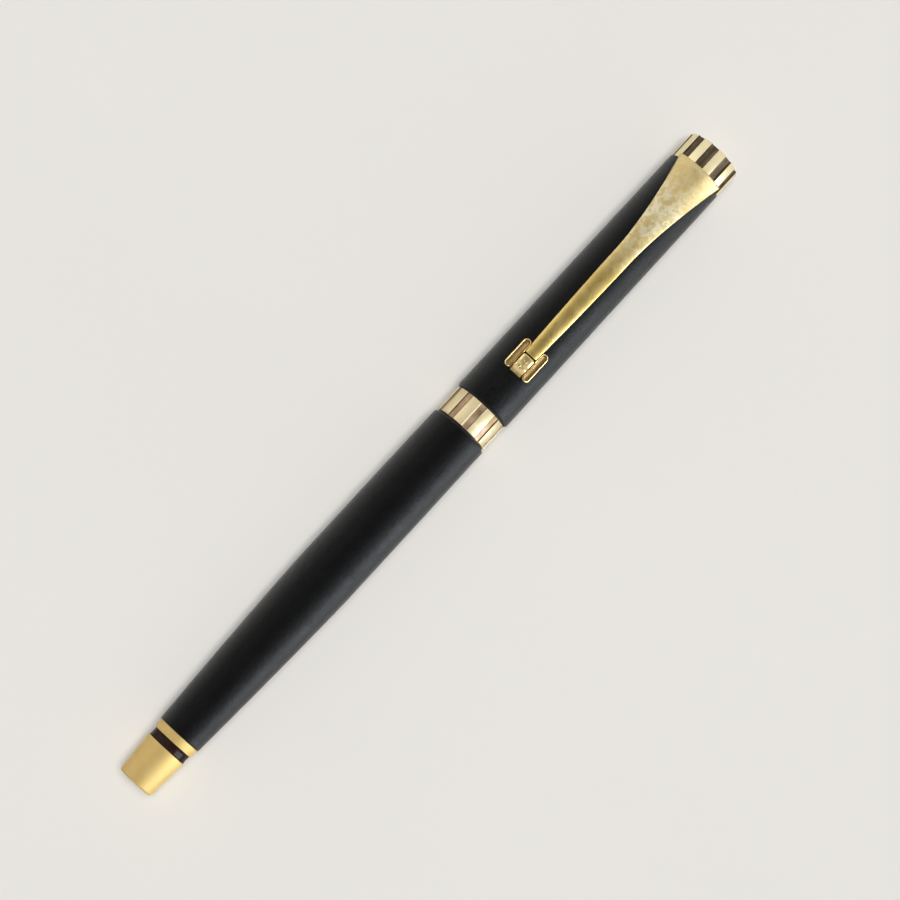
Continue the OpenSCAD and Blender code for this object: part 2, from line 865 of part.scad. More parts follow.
// Shell over the cap between two heights above it, as long as the shoe
module shoe_shell(low, high) {
  turned([
    [cap_r(u_shoe) + low, u_shoe],
    [cap_r(u_shoe) + high, u_shoe],
    [cap_r(u_shoe + shoe_l) + high, u_shoe + shoe_l],
    [cap_r(u_shoe + shoe_l) + low, u_shoe + shoe_l]
  ]);
}

// Plan rectangle with round corners, from u_shoe on, shrunk by inset on every side
module shoe_outline(inset) {
  r = shoe_round - inset / 2;
  half = shoe_w / 2 - inset;
  translate([u_shoe + inset, -half]) {
    translate([r, 0]) square([shoe_l - 2 * inset - 2 * r, 2 * half]);
    translate([0, r]) square([shoe_l - 2 * inset, 2 * (half - r)]);
    for (x = [r, shoe_l - 2 * inset - r], y = [r, 2 * half - r])
      translate([x, y]) circle(r = r);
  }
}

module clip_shoe() {
  arm_room = 0.12;
  block_half = shoe_block_w / 2;
  slot_half = strap_half(strap_l - (shoe_l - shoe_block_l)) + arm_room;
  color(gold) {
    intersection() {
      shoe_shell(shoe_gap, shoe_base_t);
      plan_prism() shoe_outline(0);
    }
    intersection() {
      shoe_shell(shoe_gap, shoe_rim_h);
      plan_prism()
        difference() {
          shoe_outline(0);
          shoe_outline(shoe_rim_w);
          translate([u_shoe - over, -slot_half])
            square([shoe_l + 2 * over, 2 * slot_half]);
        }
    }
    intersection() {
      shoe_shell(shoe_gap, shoe_block_h);
      plan_prism()
        translate([u_shoe, -block_half])
          square([shoe_block_l, shoe_block_w]);
    }
  }
}

tail_finial();
tail_band();
tail_ring();
barrel_tube();
barrel_bush();
refill_spring();
section_joint();
clutch_ring();
grip_section();
nose_cone();
refill_tube();
refill_end_plug();
ink_core();
feed_rod();
refill_housing();
refill_tip();
writing_ball();
cap_tube();
cap_band();
inner_cap();
clip_bush();
crown_screw();
cap_crown();
pocket_clip();
clip_shoe();
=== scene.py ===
"""A capped rollerball pen in powder-coated black and gold, lying on a pale floor with its clip on top."""

import math

import bmesh
import bpy
import numpy as np
from mathutils import Matrix, Vector


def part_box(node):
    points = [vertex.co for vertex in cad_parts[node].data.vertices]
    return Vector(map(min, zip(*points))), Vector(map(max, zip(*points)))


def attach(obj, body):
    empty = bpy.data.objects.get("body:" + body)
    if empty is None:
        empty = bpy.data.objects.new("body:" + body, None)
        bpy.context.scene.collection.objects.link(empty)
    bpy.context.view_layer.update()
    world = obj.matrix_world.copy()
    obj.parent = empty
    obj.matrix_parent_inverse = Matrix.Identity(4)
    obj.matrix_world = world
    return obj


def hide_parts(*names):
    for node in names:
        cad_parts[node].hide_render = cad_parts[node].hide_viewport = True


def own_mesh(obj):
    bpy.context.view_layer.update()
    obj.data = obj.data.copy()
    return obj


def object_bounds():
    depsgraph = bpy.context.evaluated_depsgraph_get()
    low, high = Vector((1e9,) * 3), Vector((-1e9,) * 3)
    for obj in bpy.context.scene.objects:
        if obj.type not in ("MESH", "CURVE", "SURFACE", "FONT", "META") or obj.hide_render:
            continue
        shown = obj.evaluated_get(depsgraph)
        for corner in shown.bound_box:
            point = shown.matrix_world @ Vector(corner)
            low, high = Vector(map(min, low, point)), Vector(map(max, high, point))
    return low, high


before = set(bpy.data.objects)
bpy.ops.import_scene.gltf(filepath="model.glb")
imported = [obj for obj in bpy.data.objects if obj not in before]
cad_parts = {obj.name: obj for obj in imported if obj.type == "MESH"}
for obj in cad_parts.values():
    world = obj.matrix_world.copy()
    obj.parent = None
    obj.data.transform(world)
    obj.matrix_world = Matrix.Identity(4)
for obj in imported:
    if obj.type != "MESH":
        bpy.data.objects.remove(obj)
cad_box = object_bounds()

MM = 0.001
SLICES = 192
ARC_STEPS = 6
FLUTES = 10
LAND_STEPS = 12
SHARP_ANGLE = math.radians(38)
AXIS_H = (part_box("barrel_tube")[0].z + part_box("barrel_tube")[1].z) / 2


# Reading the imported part


def start_of(node):
    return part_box(node)[0].x


def end_of(node):
    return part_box(node)[1].x


def radii_near(node, x, reach=0.02 * MM):
    """The lowest and highest radius of a turned node's own corners at one station."""
    co = np.array([v.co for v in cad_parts[node].data.vertices])
    near = co[np.abs(co[:, 0] - x) < reach]
    r = np.hypot(near[:, 1], near[:, 2] - AXIS_H)
    return float(r.min()), float(r.max())


def outer_r(node, x):
    return radii_near(node, x)[1]


def inner_r(node, x):
    return radii_near(node, x)[0]


def ease(t):
    t = min(max(t, 0.0), 1.0)
    return t * t * (3 - 2 * t)


# Mesh making


def into_scene(name, data):
    thing = bpy.data.objects.new(name, data)
    bpy.context.scene.collection.objects.link(thing)
    return thing


def as_object(name, verts, faces, smooth=True):
    mesh = bpy.data.meshes.new(name)
    mesh.from_pydata(verts, [], faces)
    work = bmesh.new()
    work.from_mesh(mesh)
    bmesh.ops.recalc_face_normals(work, faces=work.faces)
    work.to_mesh(mesh)
    work.free()
    if smooth:
        mesh.shade_smooth()
        mesh.set_sharp_from_angle(angle=SHARP_ANGLE)
    return into_scene(name, mesh)


def soften(corners):
    """Rounds the corners of a closed outline. Each corner is two coordinates and a rounding radius."""
    out = []
    count = len(corners)
    for i, (a, b, size) in enumerate(corners):
        here = Vector((a, b))
        if size <= 0:
            out.append(here)
            continue
        back = Vector(corners[i - 1][:2]) - here
        on = Vector(corners[(i + 1) % count][:2]) - here
        half = back.angle(on) / 2
        reach = min(size / math.tan(half), back.length * 0.49, on.length * 0.49)
        radius = reach * math.tan(half)
        back.normalize()
        on.normalize()
        middle = here + (back + on).normalized() * (radius / math.sin(half))
        p0 = here + back * reach - middle
        p1 = here + on * reach - middle
        sweep = p0.angle_signed(p1)
        for k in range(ARC_STEPS + 1):
            out.append(middle + Matrix.Rotation(-sweep * k / ARC_STEPS, 2) @ p0)
    return [(p.x, p.y) for p in out]


def round_section():
    """Unit directions round a plain circle, with no limit to their reach."""
    angles = [2 * math.pi * k / SLICES for k in range(SLICES)]
    return [(math.cos(a), math.sin(a), math.inf) for a in angles]


def fluted_section(radius, depth, top_w, floor_w, phase, edge, corner):
    """Directions round a fluted edge, each with the reach of the edge there. Angles run from the top."""
    corners = []
    step = 2 * math.pi / FLUTES
    half_open = math.asin(top_w / 2 / radius)
    for i in range(FLUTES):
        middle = phase + i * step
        c, s = math.cos(middle), math.sin(middle)
        for span, reach, size in (
            (-top_w, radius, edge),
            (-floor_w, radius - depth, corner),
            (floor_w, radius - depth, corner),
            (top_w, radius, edge),
        ):
            along = span / 2
            out = math.sqrt(reach * reach - along * along)
            corners.append((out * c - along * s, out * s + along * c, size))
        for k in range(1, LAND_STEPS):
            a = middle + half_open + (step - 2 * half_open) * k / LAND_STEPS
            corners.append((radius * math.cos(a), radius * math.sin(a), 0))
    section = []
    for up, across in soften(corners):
        r = math.hypot(up, across)
        section.append((-across / r, up / r, r))
    return section


def bridge(a, b):
    """Faces between two rings of corner numbers. A ring may be one corner, many times over."""
    faces = []
    for k in range(len(a)):
        n = (k + 1) % len(a)
        faces.append(list(dict.fromkeys((a[k], a[n], b[n], b[k]))))
    return faces


def revolve(name, outline, section=None, closed=True, shape=None):
    """Carries (x, radius) points round the pen's axis. A radius of nought is a point on the axis."""
    section = section or round_section()
    count = len(section)
    verts, rings, faces = [], [], []
    for x, r in outline:
        if r < 1e-7:
            rings.append([len(verts)] * count)
            verts.append((x, 0, AXIS_H))
            continue
        first = len(verts)
        for k, (y, z, reach) in enumerate(section):
            rr = min(r, reach) + (shape(x, r, y, z) if shape else 0)
            verts.append((x, y * rr, AXIS_H + z * rr))
        rings.append(list(range(first, first + count)))
    last = len(rings) if closed else len(rings) - 1
    for i in range(last):
        a, b = rings[i], rings[(i + 1) % len(rings)]
        if a[0] != a[1] or b[0] != b[1]:
            faces += bridge(a, b)
    return as_object(name, verts, faces)


def turned(name, corners):
    return revolve(name, soften(corners))


def loft(loops):
    """Joins closed loops with the same number of points into one skin, open at both ends."""
    verts = [p for loop in loops for p in loop]
    count = len(loops[0])
    faces = []
    for first in range(0, len(verts) - count, count):
        faces += bridge(range(first, first + count), range(first + count, first + 2 * count))
    return verts, faces


def closed_loft(loops):
    """A loft whose ends are closed by one face each."""
    verts, faces = loft(loops)
    count = len(loops[0])
    last = len(verts) - count
    return verts, faces + [list(range(count)), list(range(last, last + count))]


def join_shells(name, shells):
    """One object from several closed skins."""
    verts, faces = [], []
    for v, f in shells:
        base = len(verts)
        verts += v
        faces += [[base + i for i in face] for face in f]
    return as_object(name, verts, faces)


# Node groups

ORIGIN = (0, 0, 0)


def plug(socket, value):
    """Links a socket to another node's output, or sets its own number or colour."""
    if isinstance(value, bpy.types.NodeSocket):
        socket.id_data.links.new(value, socket)
    else:
        socket.default_value = value


def add(tree, kind, inputs=None, **settings):
    node = tree.nodes.new("ShaderNode" + kind)
    for key, value in settings.items():
        setattr(node, key, value)
    for key, value in (inputs or {}).items():
        plug(node.inputs[key], value)
    return node


def calc(tree, operation, a, b=0.0):
    return add(tree, "Math", {0: a, 1: b}, operation=operation).outputs[0]


def plus(tree, a, b):
    return calc(tree, "ADD", a, b)


def minus(tree, a, b):
    return calc(tree, "SUBTRACT", a, b)


def times(tree, a, b):
    return calc(tree, "MULTIPLY", a, b)


def remap(tree, value, low, high, to_low=0.0, to_high=1.0, smooth=False):
    inputs = {"Value": value, "From Min": low, "From Max": high, "To Min": to_low, "To Max": to_high}
    kind = "SMOOTHSTEP" if smooth else "LINEAR"
    return add(tree, "MapRange", inputs, interpolation_type=kind).outputs["Result"]


def between(tree, share, low, high):
    """Goes from low to high as a share goes from nought to one."""
    return remap(tree, share, 0.0, 1.0, low, high)


def noise(tree, spot, scale, detail, **more):
    inputs = {"Vector": spot, "Scale": scale, "Detail": detail}
    inputs.update({key.title(): value for key, value in more.items()})
    return add(tree, "TexNoise", inputs).outputs["Fac"]


def mix(tree, share, a, b):
    return add(tree, "Mix", {0: share, 6: a, 7: b}, data_type="RGBA").outputs[2]


def new_group(name, takes, gives):
    """A node group whose inputs come with their usual values. Only a Spot is a vector."""
    group = bpy.data.node_groups.new(name, "ShaderNodeTree")
    for way, labels in (("INPUT", takes), ("OUTPUT", gives)):
        for label in labels:
            kind = "NodeSocketVector" if label == "Spot" else "NodeSocketFloat"
            socket = group.interface.new_socket(name=label, in_out=way, socket_type=kind)
            if way == "INPUT":
                socket.default_value = takes[label]
    nodes = group.nodes
    return group, nodes.new("NodeGroupInput").outputs, nodes.new("NodeGroupOutput").inputs


def use(tree, group, **values):
    inputs = {key.replace("_", " ").title(): value for key, value in values.items()}
    return add(tree, "Group", inputs, node_tree=group).outputs


def make_turned_place():
    """Where a spot is on a turned piece: along it and from its axis in millimetres, and turns round it."""
    tree, _, out = new_group("turned_place", {}, ("Along", "Around", "Radius", "Spot"))
    spot = add(tree, "TexCoord").outputs["Object"]
    in_mm = add(tree, "VectorMath", {0: spot, "Scale": 1 / MM}, operation="SCALE").outputs[0]
    parts = add(tree, "SeparateXYZ", {0: in_mm}).outputs
    up = minus(tree, parts["Z"], AXIS_H / MM)
    angle = calc(tree, "ARCTAN2", parts["Y"], up)
    square = plus(tree, times(tree, parts["Y"], parts["Y"]), times(tree, up, up))
    plug(out["Along"], parts["X"])
    plug(out["Around"], calc(tree, "DIVIDE", angle, 2 * math.pi))
    plug(out["Radius"], calc(tree, "SQRT", square))
    plug(out["Spot"], in_mm)
    return tree


def make_fine_grain():
    """The pebbled skin of a baked coating or a moulding: its height, its hollows and broad cloudy patches."""
    tree, take, out = new_group(
        "fine_grain", {"Spot": ORIGIN, "Grain Size": 0.1, "Patch Size": 2.0}, ("Height", "Hollows", "Patches")
    )
    spot = take["Spot"]
    fine = noise(tree, spot, calc(tree, "DIVIDE", 1.0, take["Grain Size"]), 3.0, roughness=0.62)
    cell_inputs = {"Vector": spot, "Scale": calc(tree, "DIVIDE", 0.55, take["Grain Size"])}
    cells = add(tree, "TexVoronoi", cell_inputs, feature="SMOOTH_F1").outputs["Distance"]
    patches = noise(tree, spot, calc(tree, "DIVIDE", 1.0, take["Patch Size"]), 4.0, roughness=0.55)
    height = plus(tree, times(tree, fine, 0.7), times(tree, cells, 0.3))
    plug(out["Height"], height)
    plug(out["Hollows"], remap(tree, height, 0.36, 0.5, 1.0, 0.0, smooth=True))
    plug(out["Patches"], remap(tree, patches, 0.32, 0.68, smooth=True))
    return tree


def make_turning_lines():
    """Fine rings left by the lathe or the polishing wheel."""
    tree, take, out = new_group(
        "turning_lines", {"Along": 0.0, "Around": 0.0, "Pitch": 0.05, "Waver": 0.6}, ("Height",)
    )
    along = calc(tree, "DIVIDE", take["Along"], take["Pitch"])
    across = times(tree, take["Around"], take["Waver"])
    spot = add(tree, "CombineXYZ", {"X": along, "Y": across}).outputs[0]
    plug(out["Height"], noise(tree, spot, 1.0, 4.0, roughness=0.7))
    return tree


def make_handling_marks():
    """Soft smears from fingers and a few hairline scratches."""
    tree, take, out = new_group(
        "handling_marks",
        {"Spot": ORIGIN, "Smear Size": 4.0, "Scratch Share": 0.3},
        ("Smears", "Scratches"),
    )
    spot = take["Spot"]
    fineness = calc(tree, "DIVIDE", 1.0, take["Smear Size"])
    smear = noise(tree, spot, fineness, 5.0, roughness=0.6, distortion=0.8)
    hairlines = []
    for turn, stretch in ((0.5, 0.07), (2.1, 0.05)):
        laying = {"Vector": spot, "Rotation": (0.0, 0.2, turn), "Scale": (stretch, 4.0, 4.0)}
        laid = add(tree, "Mapping", laying).outputs[0]
        off_line = calc(tree, "ABSOLUTE", minus(tree, noise(tree, laid, 2.4, 2.0), 0.5))
        hairlines.append(remap(tree, off_line, 0.0, 0.012, 1.0, 0.0))
    where = remap(tree, noise(tree, spot, 0.35, 1.0), 0.5, 0.62)
    shown = times(tree, calc(tree, "MAXIMUM", *hairlines), where)
    plug(out["Smears"], remap(tree, smear, 0.3, 0.7, smooth=True))
    plug(out["Scratches"], times(tree, shown, take["Scratch Share"]))
    return tree


def make_edge_wear():
    """A mask of the edges that hands and pockets rub."""
    tree, take, out = new_group(
        "edge_wear", {"Spot": ORIGIN, "Sharpness": 0.52, "Width": 0.06}, ("Edges",)
    )
    point = add(tree, "NewGeometry").outputs["Pointiness"]
    edge = remap(tree, point, take["Sharpness"], plus(tree, take["Sharpness"], take["Width"]))
    broken = remap(tree, noise(tree, take["Spot"], 1.6, 4.0), 0.35, 0.6)
    plug(out["Edges"], times(tree, edge, broken))
    return tree


turned_place = make_turned_place()
fine_grain = make_fine_grain()
turning_lines = make_turning_lines()
handling_marks = make_handling_marks()
edge_wear = make_edge_wear()


# Finishes

MICRON = 0.001 * MM
CLIP_ARM_X = 38.0
CLIP_WIDE_X = 54.0
CLIP_ROOT_X = 62.0
SHOE_DISH_R = 5.60
SHOE_RIM_R = 5.95


def new_finish(name, **settings):
    """A material with one shader, and the constants of that shader set on its own sockets."""
    material = bpy.data.materials.new(name)
    material.use_nodes = True
    tree = material.node_tree
    shader = tree.nodes["Principled BSDF"]
    feed(shader, **settings)
    return material, tree, shader


def handled_finish(name, smear_size, scratch_share, **settings):
    """A metal, unless the settings say otherwise, with smears and scratches from handling."""
    material, tree, shader = new_finish(name, **({"Metallic": 1.0} | settings))
    place = use(tree, turned_place)
    marks = use(tree, handling_marks, spot=place["Spot"], smear_size=smear_size, scratch_share=scratch_share)
    return material, tree, shader, place, marks["Smears"], marks["Scratches"]


def feed(shader, **sockets):
    for key, value in sockets.items():
        plug(shader.inputs[key.replace("_", " ")], value)


def ring_lines(tree, place, pitch, waver):
    lines = use(tree, turning_lines, along=place["Along"], around=place["Around"], pitch=pitch, waver=waver)
    return lines["Height"]


def relief(shader, *layers):
    """Bumps from coarse to fine. Each layer is a height and its depth in thousandths of a millimetre."""
    inputs = {}
    for height, depth in layers:
        inputs.update({"Height": height, "Distance": depth * MICRON, "Strength": 1.0})
        inputs["Normal"] = add(shader.id_data, "Bump", inputs).outputs[0]
    plug(shader.inputs["Normal"], inputs["Normal"])


def make_powder_black():
    """A matte coating that shines a little more on its steep sides than on its top."""
    material, tree, shader, place, smears, scratches = handled_finish(
        "powder_black",
        5.0,
        0.25,
        Metallic=0.0,
        Specular_IOR_Level=0.2,
        Sheen_Weight=0.05,
        Sheen_Roughness=0.45,
        Sheen_Tint=(0.80, 0.92, 1.0, 1),
    )
    grain = use(tree, fine_grain, spot=place["Spot"], grain_size=0.28, patch_size=2.6)
    rubbed = use(tree, edge_wear, spot=place["Spot"])["Edges"]
    base = mix(tree, grain["Patches"], (0.0008, 0.0008, 0.0009, 1), (0.0023, 0.0024, 0.0027, 1))
    # painted shade: the grain's hollows are coloured darker
    base = mix(tree, grain["Hollows"], base, (0.0006, 0.0006, 0.0006, 1))
    base = mix(tree, times(tree, rubbed, 0.25), base, (0.06, 0.06, 0.062, 1))
    rough = plus(tree, between(tree, smears, 0.37, 0.45), times(tree, grain["Hollows"], 0.08))
    rough = minus(tree, rough, times(tree, rubbed, 0.08))
    slant = add(tree, "LayerWeight", {"Blend": 0.5}).outputs["Facing"]
    shine = remap(tree, slant, 0.12, 0.45, 0.11, 0.35)
    feed(shader, Base_Color=base, Roughness=rough, Specular_IOR_Level=shine)
    relief(shader, (scratches, -2), (grain["Height"], 80))
    return material


def make_polished_gold():
    material, tree, shader, place, smears, scratches = handled_finish("polished_gold", 2.4, 0.5)
    rubbed = use(tree, edge_wear, spot=place["Spot"])["Edges"]
    tone = mix(tree, smears, (0.74, 0.51, 0.18, 1), (0.80, 0.58, 0.235, 1))
    tone = mix(tree, times(tree, rubbed, 0.3), tone, (0.96, 0.80, 0.45, 1))
    rough = plus(tree, between(tree, smears, 0.20, 0.28), times(tree, scratches, 0.15))
    feed(shader, Base_Color=tone, Roughness=rough)
    relief(shader, (noise(tree, place["Spot"], 1.1, 3.0), 10), (scratches, -1))
    return material


def make_clip_gold():
    """Gold that is paler on the clip's wide end than on its slim arm, with pale cloudy patches of painted
    reflection on the wide end.
    """
    material, tree, shader, place, smears, scratches = handled_finish("clip_gold", 2.4, 0.5)
    cloud = noise(tree, place["Spot"], 0.8, 6.0, roughness=0.7, distortion=0.5)
    wide = remap(tree, place["Along"], CLIP_ARM_X, CLIP_WIDE_X, smooth=True)
    root = remap(tree, place["Along"], CLIP_WIDE_X, CLIP_ROOT_X, 1.0, 0.25, smooth=True)
    # painted reflection: pale cloudy patches on the wide end, fainter towards the root
    patches = times(tree, remap(tree, cloud, 0.40, 0.60, smooth=True), root)
    arm_tone = mix(tree, smears, (0.57, 0.41, 0.125, 1), (0.65, 0.485, 0.175, 1))
    root_tone = mix(tree, smears, (0.60, 0.455, 0.195, 1), (0.67, 0.525, 0.25, 1))
    pale = mix(tree, patches, root_tone, (0.80, 0.74, 0.52, 1))
    rough = plus(tree, between(tree, smears, 0.26, 0.34), times(tree, wide, 0.2))
    feed(shader, Base_Color=mix(tree, wide, arm_tone, pale), Roughness=rough)
    relief(shader, (cloud, 30), (scratches, -1))
    return material


def make_shoe_gold():
    """Gold painted brown as shade where it sits low, in the dished wings and on the block's nose, and
    gold-toned on the raised rims. Radii are in millimetres from the pen's axis.
    """
    material, tree, shader, place, smears, scratches = handled_finish("shoe_gold", 1.2, 0.4)
    high = remap(tree, place["Radius"], SHOE_DISH_R, SHOE_RIM_R, smooth=True)
    # painted shade: brown where the shoe sits low, in the dishes and on the block's nose
    painted_shade_tone = mix(tree, smears, (0.28, 0.185, 0.075, 1), (0.47, 0.335, 0.155, 1))
    rim_tone = mix(tree, smears, (0.66, 0.50, 0.21, 1), (0.74, 0.59, 0.30, 1))
    feed(shader, Base_Color=mix(tree, high, painted_shade_tone, rim_tone), Roughness=between(tree, high, 0.42, 0.24))
    relief(shader, (smears, 6), (scratches, -1))
    return material


def make_satin_gold():
    material, tree, shader, place, smears, scratches = handled_finish("satin_gold", 3.0, 0.3)
    lines = ring_lines(tree, place, 0.035, 1.2)
    tone = mix(tree, smears, (0.61, 0.445, 0.170, 1), (0.66, 0.495, 0.210, 1))
    rough = plus(tree, between(tree, smears, 0.58, 0.66), times(tree, lines, 0.08))
    feed(shader, Base_Color=tone, Roughness=rough)
    relief(shader, (lines, 1.2), (scratches, -1))
    return material


def make_fluted_gold(name, land_r, floor_r, lands, painted_shade_floors, painted_wall_shadow, seams=()):
    """Pale gold lands with painted shade in the flutes, darker the deeper they go, painted shadow lines on
    the flute walls and near-black painted shadow at the seams. Flat ends and the inside are left gold. The
    radii, and the seams' places along the pen, are in millimetres."""
    material, tree, shader, place, smears, scratches = handled_finish(
        name, 1.6, 0.3, Metallic=0.62, Specular_IOR_Level=0.5
    )
    normal = add(tree, "TexCoord").outputs["Normal"]
    facing = add(tree, "SeparateXYZ", {0: normal}).outputs["X"]
    side = remap(tree, calc(tree, "ABSOLUTE", facing), 0.4, 0.7, 1.0, 0.0)
    outside = remap(tree, place["Radius"], floor_r - 0.16, floor_r - 0.08)
    depth = remap(tree, place["Radius"], floor_r, land_r, 1.0, 0.0, smooth=True)
    depth = times(tree, depth, times(tree, side, outside))
    half_way = times(tree, times(tree, depth, minus(tree, 1.0, depth)), 4.0)
    on_wall = calc(tree, "POWER", half_way, 0.6)
    patch = remap(tree, noise(tree, place["Spot"], 0.6, 3.0), 0.35, 0.65)
    tone = mix(tree, smears, *lands)
    # painted shade: the flutes darken with depth
    tone = mix(tree, depth, tone, mix(tree, patch, *painted_shade_floors))
    # painted shadow: dark lines on the flute walls
    tone = mix(tree, on_wall, tone, painted_wall_shadow)
    # painted shadow: near-black lines in the seam grooves at the band's ends
    for seam in seams:
        gap = calc(tree, "ABSOLUTE", minus(tree, place["Along"], seam))
        tone = mix(tree, remap(tree, gap, 0.22, 0.34, 1.0, 0.0), tone, (0.012, 0.009, 0.006, 1))
    rough = plus(tree, between(tree, smears, 0.36, 0.44), times(tree, depth, 0.10))
    feed(shader, Base_Color=tone, Roughness=rough)
    relief(shader, (ring_lines(tree, place, 0.06, 3.0), 1), (scratches, -1))
    return material


def make_turned_metal(name, dark, light, rough_low, rough_high, pitch):
    material, tree, shader, place, smears, scratches = handled_finish(name, 1.8, 0.3)
    tone = mix(tree, smears, dark, light)
    feed(shader, Base_Color=tone, Roughness=between(tree, smears, rough_low, rough_high))
    relief(shader, (ring_lines(tree, place, pitch, 2.0), 1.8))
    return material


def make_moulded(name, dark, light, rough_low, rough_high, grain_size=0.08, patch_size=3.0, **settings):
    material, tree, shader = new_finish(name, Metallic=0.0, **settings)
    spot = use(tree, turned_place)["Spot"]
    grain = use(tree, fine_grain, spot=spot, grain_size=grain_size, patch_size=patch_size)
    tone = mix(tree, grain["Patches"], dark, light)
    feed(shader, Base_Color=tone, Roughness=between(tree, grain["Patches"], rough_low, rough_high))
    relief(shader, (grain["Height"], 3))
    return material


def make_floor_paint():
    material, tree, shader = new_finish("pale_floor", Metallic=0.0, Specular_IOR_Level=0.2)
    spot = add(tree, "TexCoord").outputs["Object"]
    cloud = noise(tree, spot, 9.0, 5.0)
    base = mix(tree, cloud, (0.78, 0.77, 0.745, 1), (0.82, 0.81, 0.79, 1))
    feed(shader, Base_Color=base, Roughness=between(tree, cloud, 0.75, 0.85))
    return material


powder_black = make_powder_black()
polished_gold = make_polished_gold()
satin_gold = make_satin_gold()
clip_gold = make_clip_gold()
shoe_gold = make_shoe_gold()
raw_brass = make_turned_metal("raw_brass", (0.52, 0.36, 0.14, 1), (0.62, 0.45, 0.20, 1), 0.26, 0.36, 0.06)
spring_steel = make_turned_metal("spring_steel", (0.42, 0.43, 0.45, 1), (0.55, 0.56, 0.58, 1), 0.2, 0.3, 0.03)
tip_steel = make_turned_metal("tip_steel", (0.56, 0.56, 0.57, 1), (0.68, 0.68, 0.69, 1), 0.12, 0.2, 0.02)
carbide_tones = (0.3, 0.31, 0.33, 1), (0.38, 0.39, 0.41, 1)
hard_carbide = make_turned_metal("hard_carbide", *carbide_tones, 0.08, 0.14, 0.01)
dark_lacquer = make_moulded(
    "dark_lacquer",
    (0.014, 0.0055, 0.003, 1),
    (0.024, 0.011, 0.0065, 1),
    0.22,
    0.34,
    grain_size=0.4,
    patch_size=1.2,
    Coat_Weight=0.08,
    Coat_Roughness=0.10,
    Specular_IOR_Level=0.06,
)
moulded_black = make_moulded("moulded_black", (0.012, 0.012, 0.013, 1), (0.022, 0.022, 0.024, 1), 0.32, 0.42)
moulded_white = make_moulded(
    "moulded_white",
    (0.70, 0.69, 0.65, 1),
    (0.78, 0.77, 0.74, 1),
    0.28,
    0.36,
    Subsurface_Weight=0.15,
    Subsurface_Scale=0.0006,
)
ink_fibre = make_moulded("ink_fibre", (0.010, 0.018, 0.09, 1), (0.016, 0.03, 0.14, 1), 0.7, 0.9)


def fit(piece, body, slot, material, *nodes):
    """Gives a piece its material and the body that it moves with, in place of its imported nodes."""
    piece.data.materials.clear()
    piece.data.materials.append(material)
    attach(piece, body)
    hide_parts(*nodes)


# Barrel

TAPER_STEPS = 64
TAPER_POWER = 1.35
TAPER_L = 34.5 * MM
BELLY_L = 15.5 * MM
FRONT_STEPS = 24
MOUTH_DROP = 0.04 * MM
MOUTH_ROUND = 0.55 * MM
MOUTH_FLAT = 0.6 * MM

x_barrel, x_mouth = start_of("barrel_tube"), end_of("barrel_tube")
x_bush = start_of("barrel_bush")
x_belly = x_barrel + TAPER_L
tail_r = outer_r("barrel_tube", x_barrel)
bore_r = inner_r("barrel_tube", x_barrel)
bush_r = outer_r("barrel_bush", x_mouth)
belly_r = outer_r("barrel_tube", x_belly)
mouth_r = belly_r - MOUTH_DROP


def make_barrel():
    edge = 0.06 * MM
    skin = [(x_barrel, bore_r, edge), (x_barrel, tail_r, edge)]
    for i in range(1, TAPER_STEPS + 1):
        t = i / TAPER_STEPS
        skin.append((x_barrel + TAPER_L * t, belly_r - (belly_r - tail_r) * (1 - t) ** TAPER_POWER, 0))
    x_front = x_belly + BELLY_L
    skin += [(x_belly + BELLY_L / 2, belly_r, 0), (x_front, belly_r, 0)]
    front_l = x_mouth - x_belly - BELLY_L - MOUTH_FLAT
    for i in range(1, FRONT_STEPS):
        t = i / FRONT_STEPS
        skin.append((x_front + front_l * t, belly_r - (belly_r - mouth_r) * ease(t), 0))
    skin += [
        (x_mouth, mouth_r, MOUTH_ROUND),
        (x_mouth, bush_r, 0.04 * MM),
        (x_bush, bush_r, 0),
        (x_bush, bore_r, 0),
    ]
    return turned("barrel_shell", skin)


fit(make_barrel(), "barrel", "black_coat", powder_black, "barrel_tube")

# Screw threads

PITCH = 0.8 * MM
THREAD_DEPTH = 0.22 * MM
THREAD_STEPS = 10
THREAD_L = 5.7 * MM
THREAD_GAP = 0.05 * MM
RUN_OUT_L = 0.6 * MM
CREST_FLAT, CREST_SLOPE = 0.35, 1.7
HAIR = 1e-9


def screw_ridge(x, y, z):
    """How far the ridge stands out at one spot of a right-handed thread, from nought to one."""
    angle = math.atan2(z, y) / (2 * math.pi)
    phase = (x / PITCH - angle) % 1.0
    return ease((0.5 - abs(phase - 0.5)) / 0.5 * CREST_SLOPE - CREST_FLAT)


def make_thread(name, outline_before, x0, x1, low_r, lift, outline_after):
    """A turned piece whose stretch from x0 to x1 has a thread that stands out by lift."""
    rings = round(abs(x1 - x0) / PITCH * THREAD_STEPS)
    stretch = [(x0 + (x1 - x0) * i / rings, low_r) for i in range(rings + 1)]

    def ridge(x, r, y, z):
        if abs(r - low_r) > HAIR or not min(x0, x1) - HAIR <= x <= max(x0, x1) + HAIR:
            return 0
        fade = min(1.0, abs(x - x0) / RUN_OUT_L, abs(x - x1) / RUN_OUT_L)
        return lift * screw_ridge(x, y, z) * fade

    return revolve(name, outline_before + stretch + outline_after, shape=ridge)


x_thread, x_joint_end = start_of("section_joint"), end_of("section_joint")
joint_r = outer_r("section_joint", x_joint_end)
joint_bore = inner_r("section_joint", x_joint_end)
x_thread_end = x_thread + THREAD_L
root_r = joint_r - THREAD_DEPTH
bush_bore = joint_r + THREAD_GAP

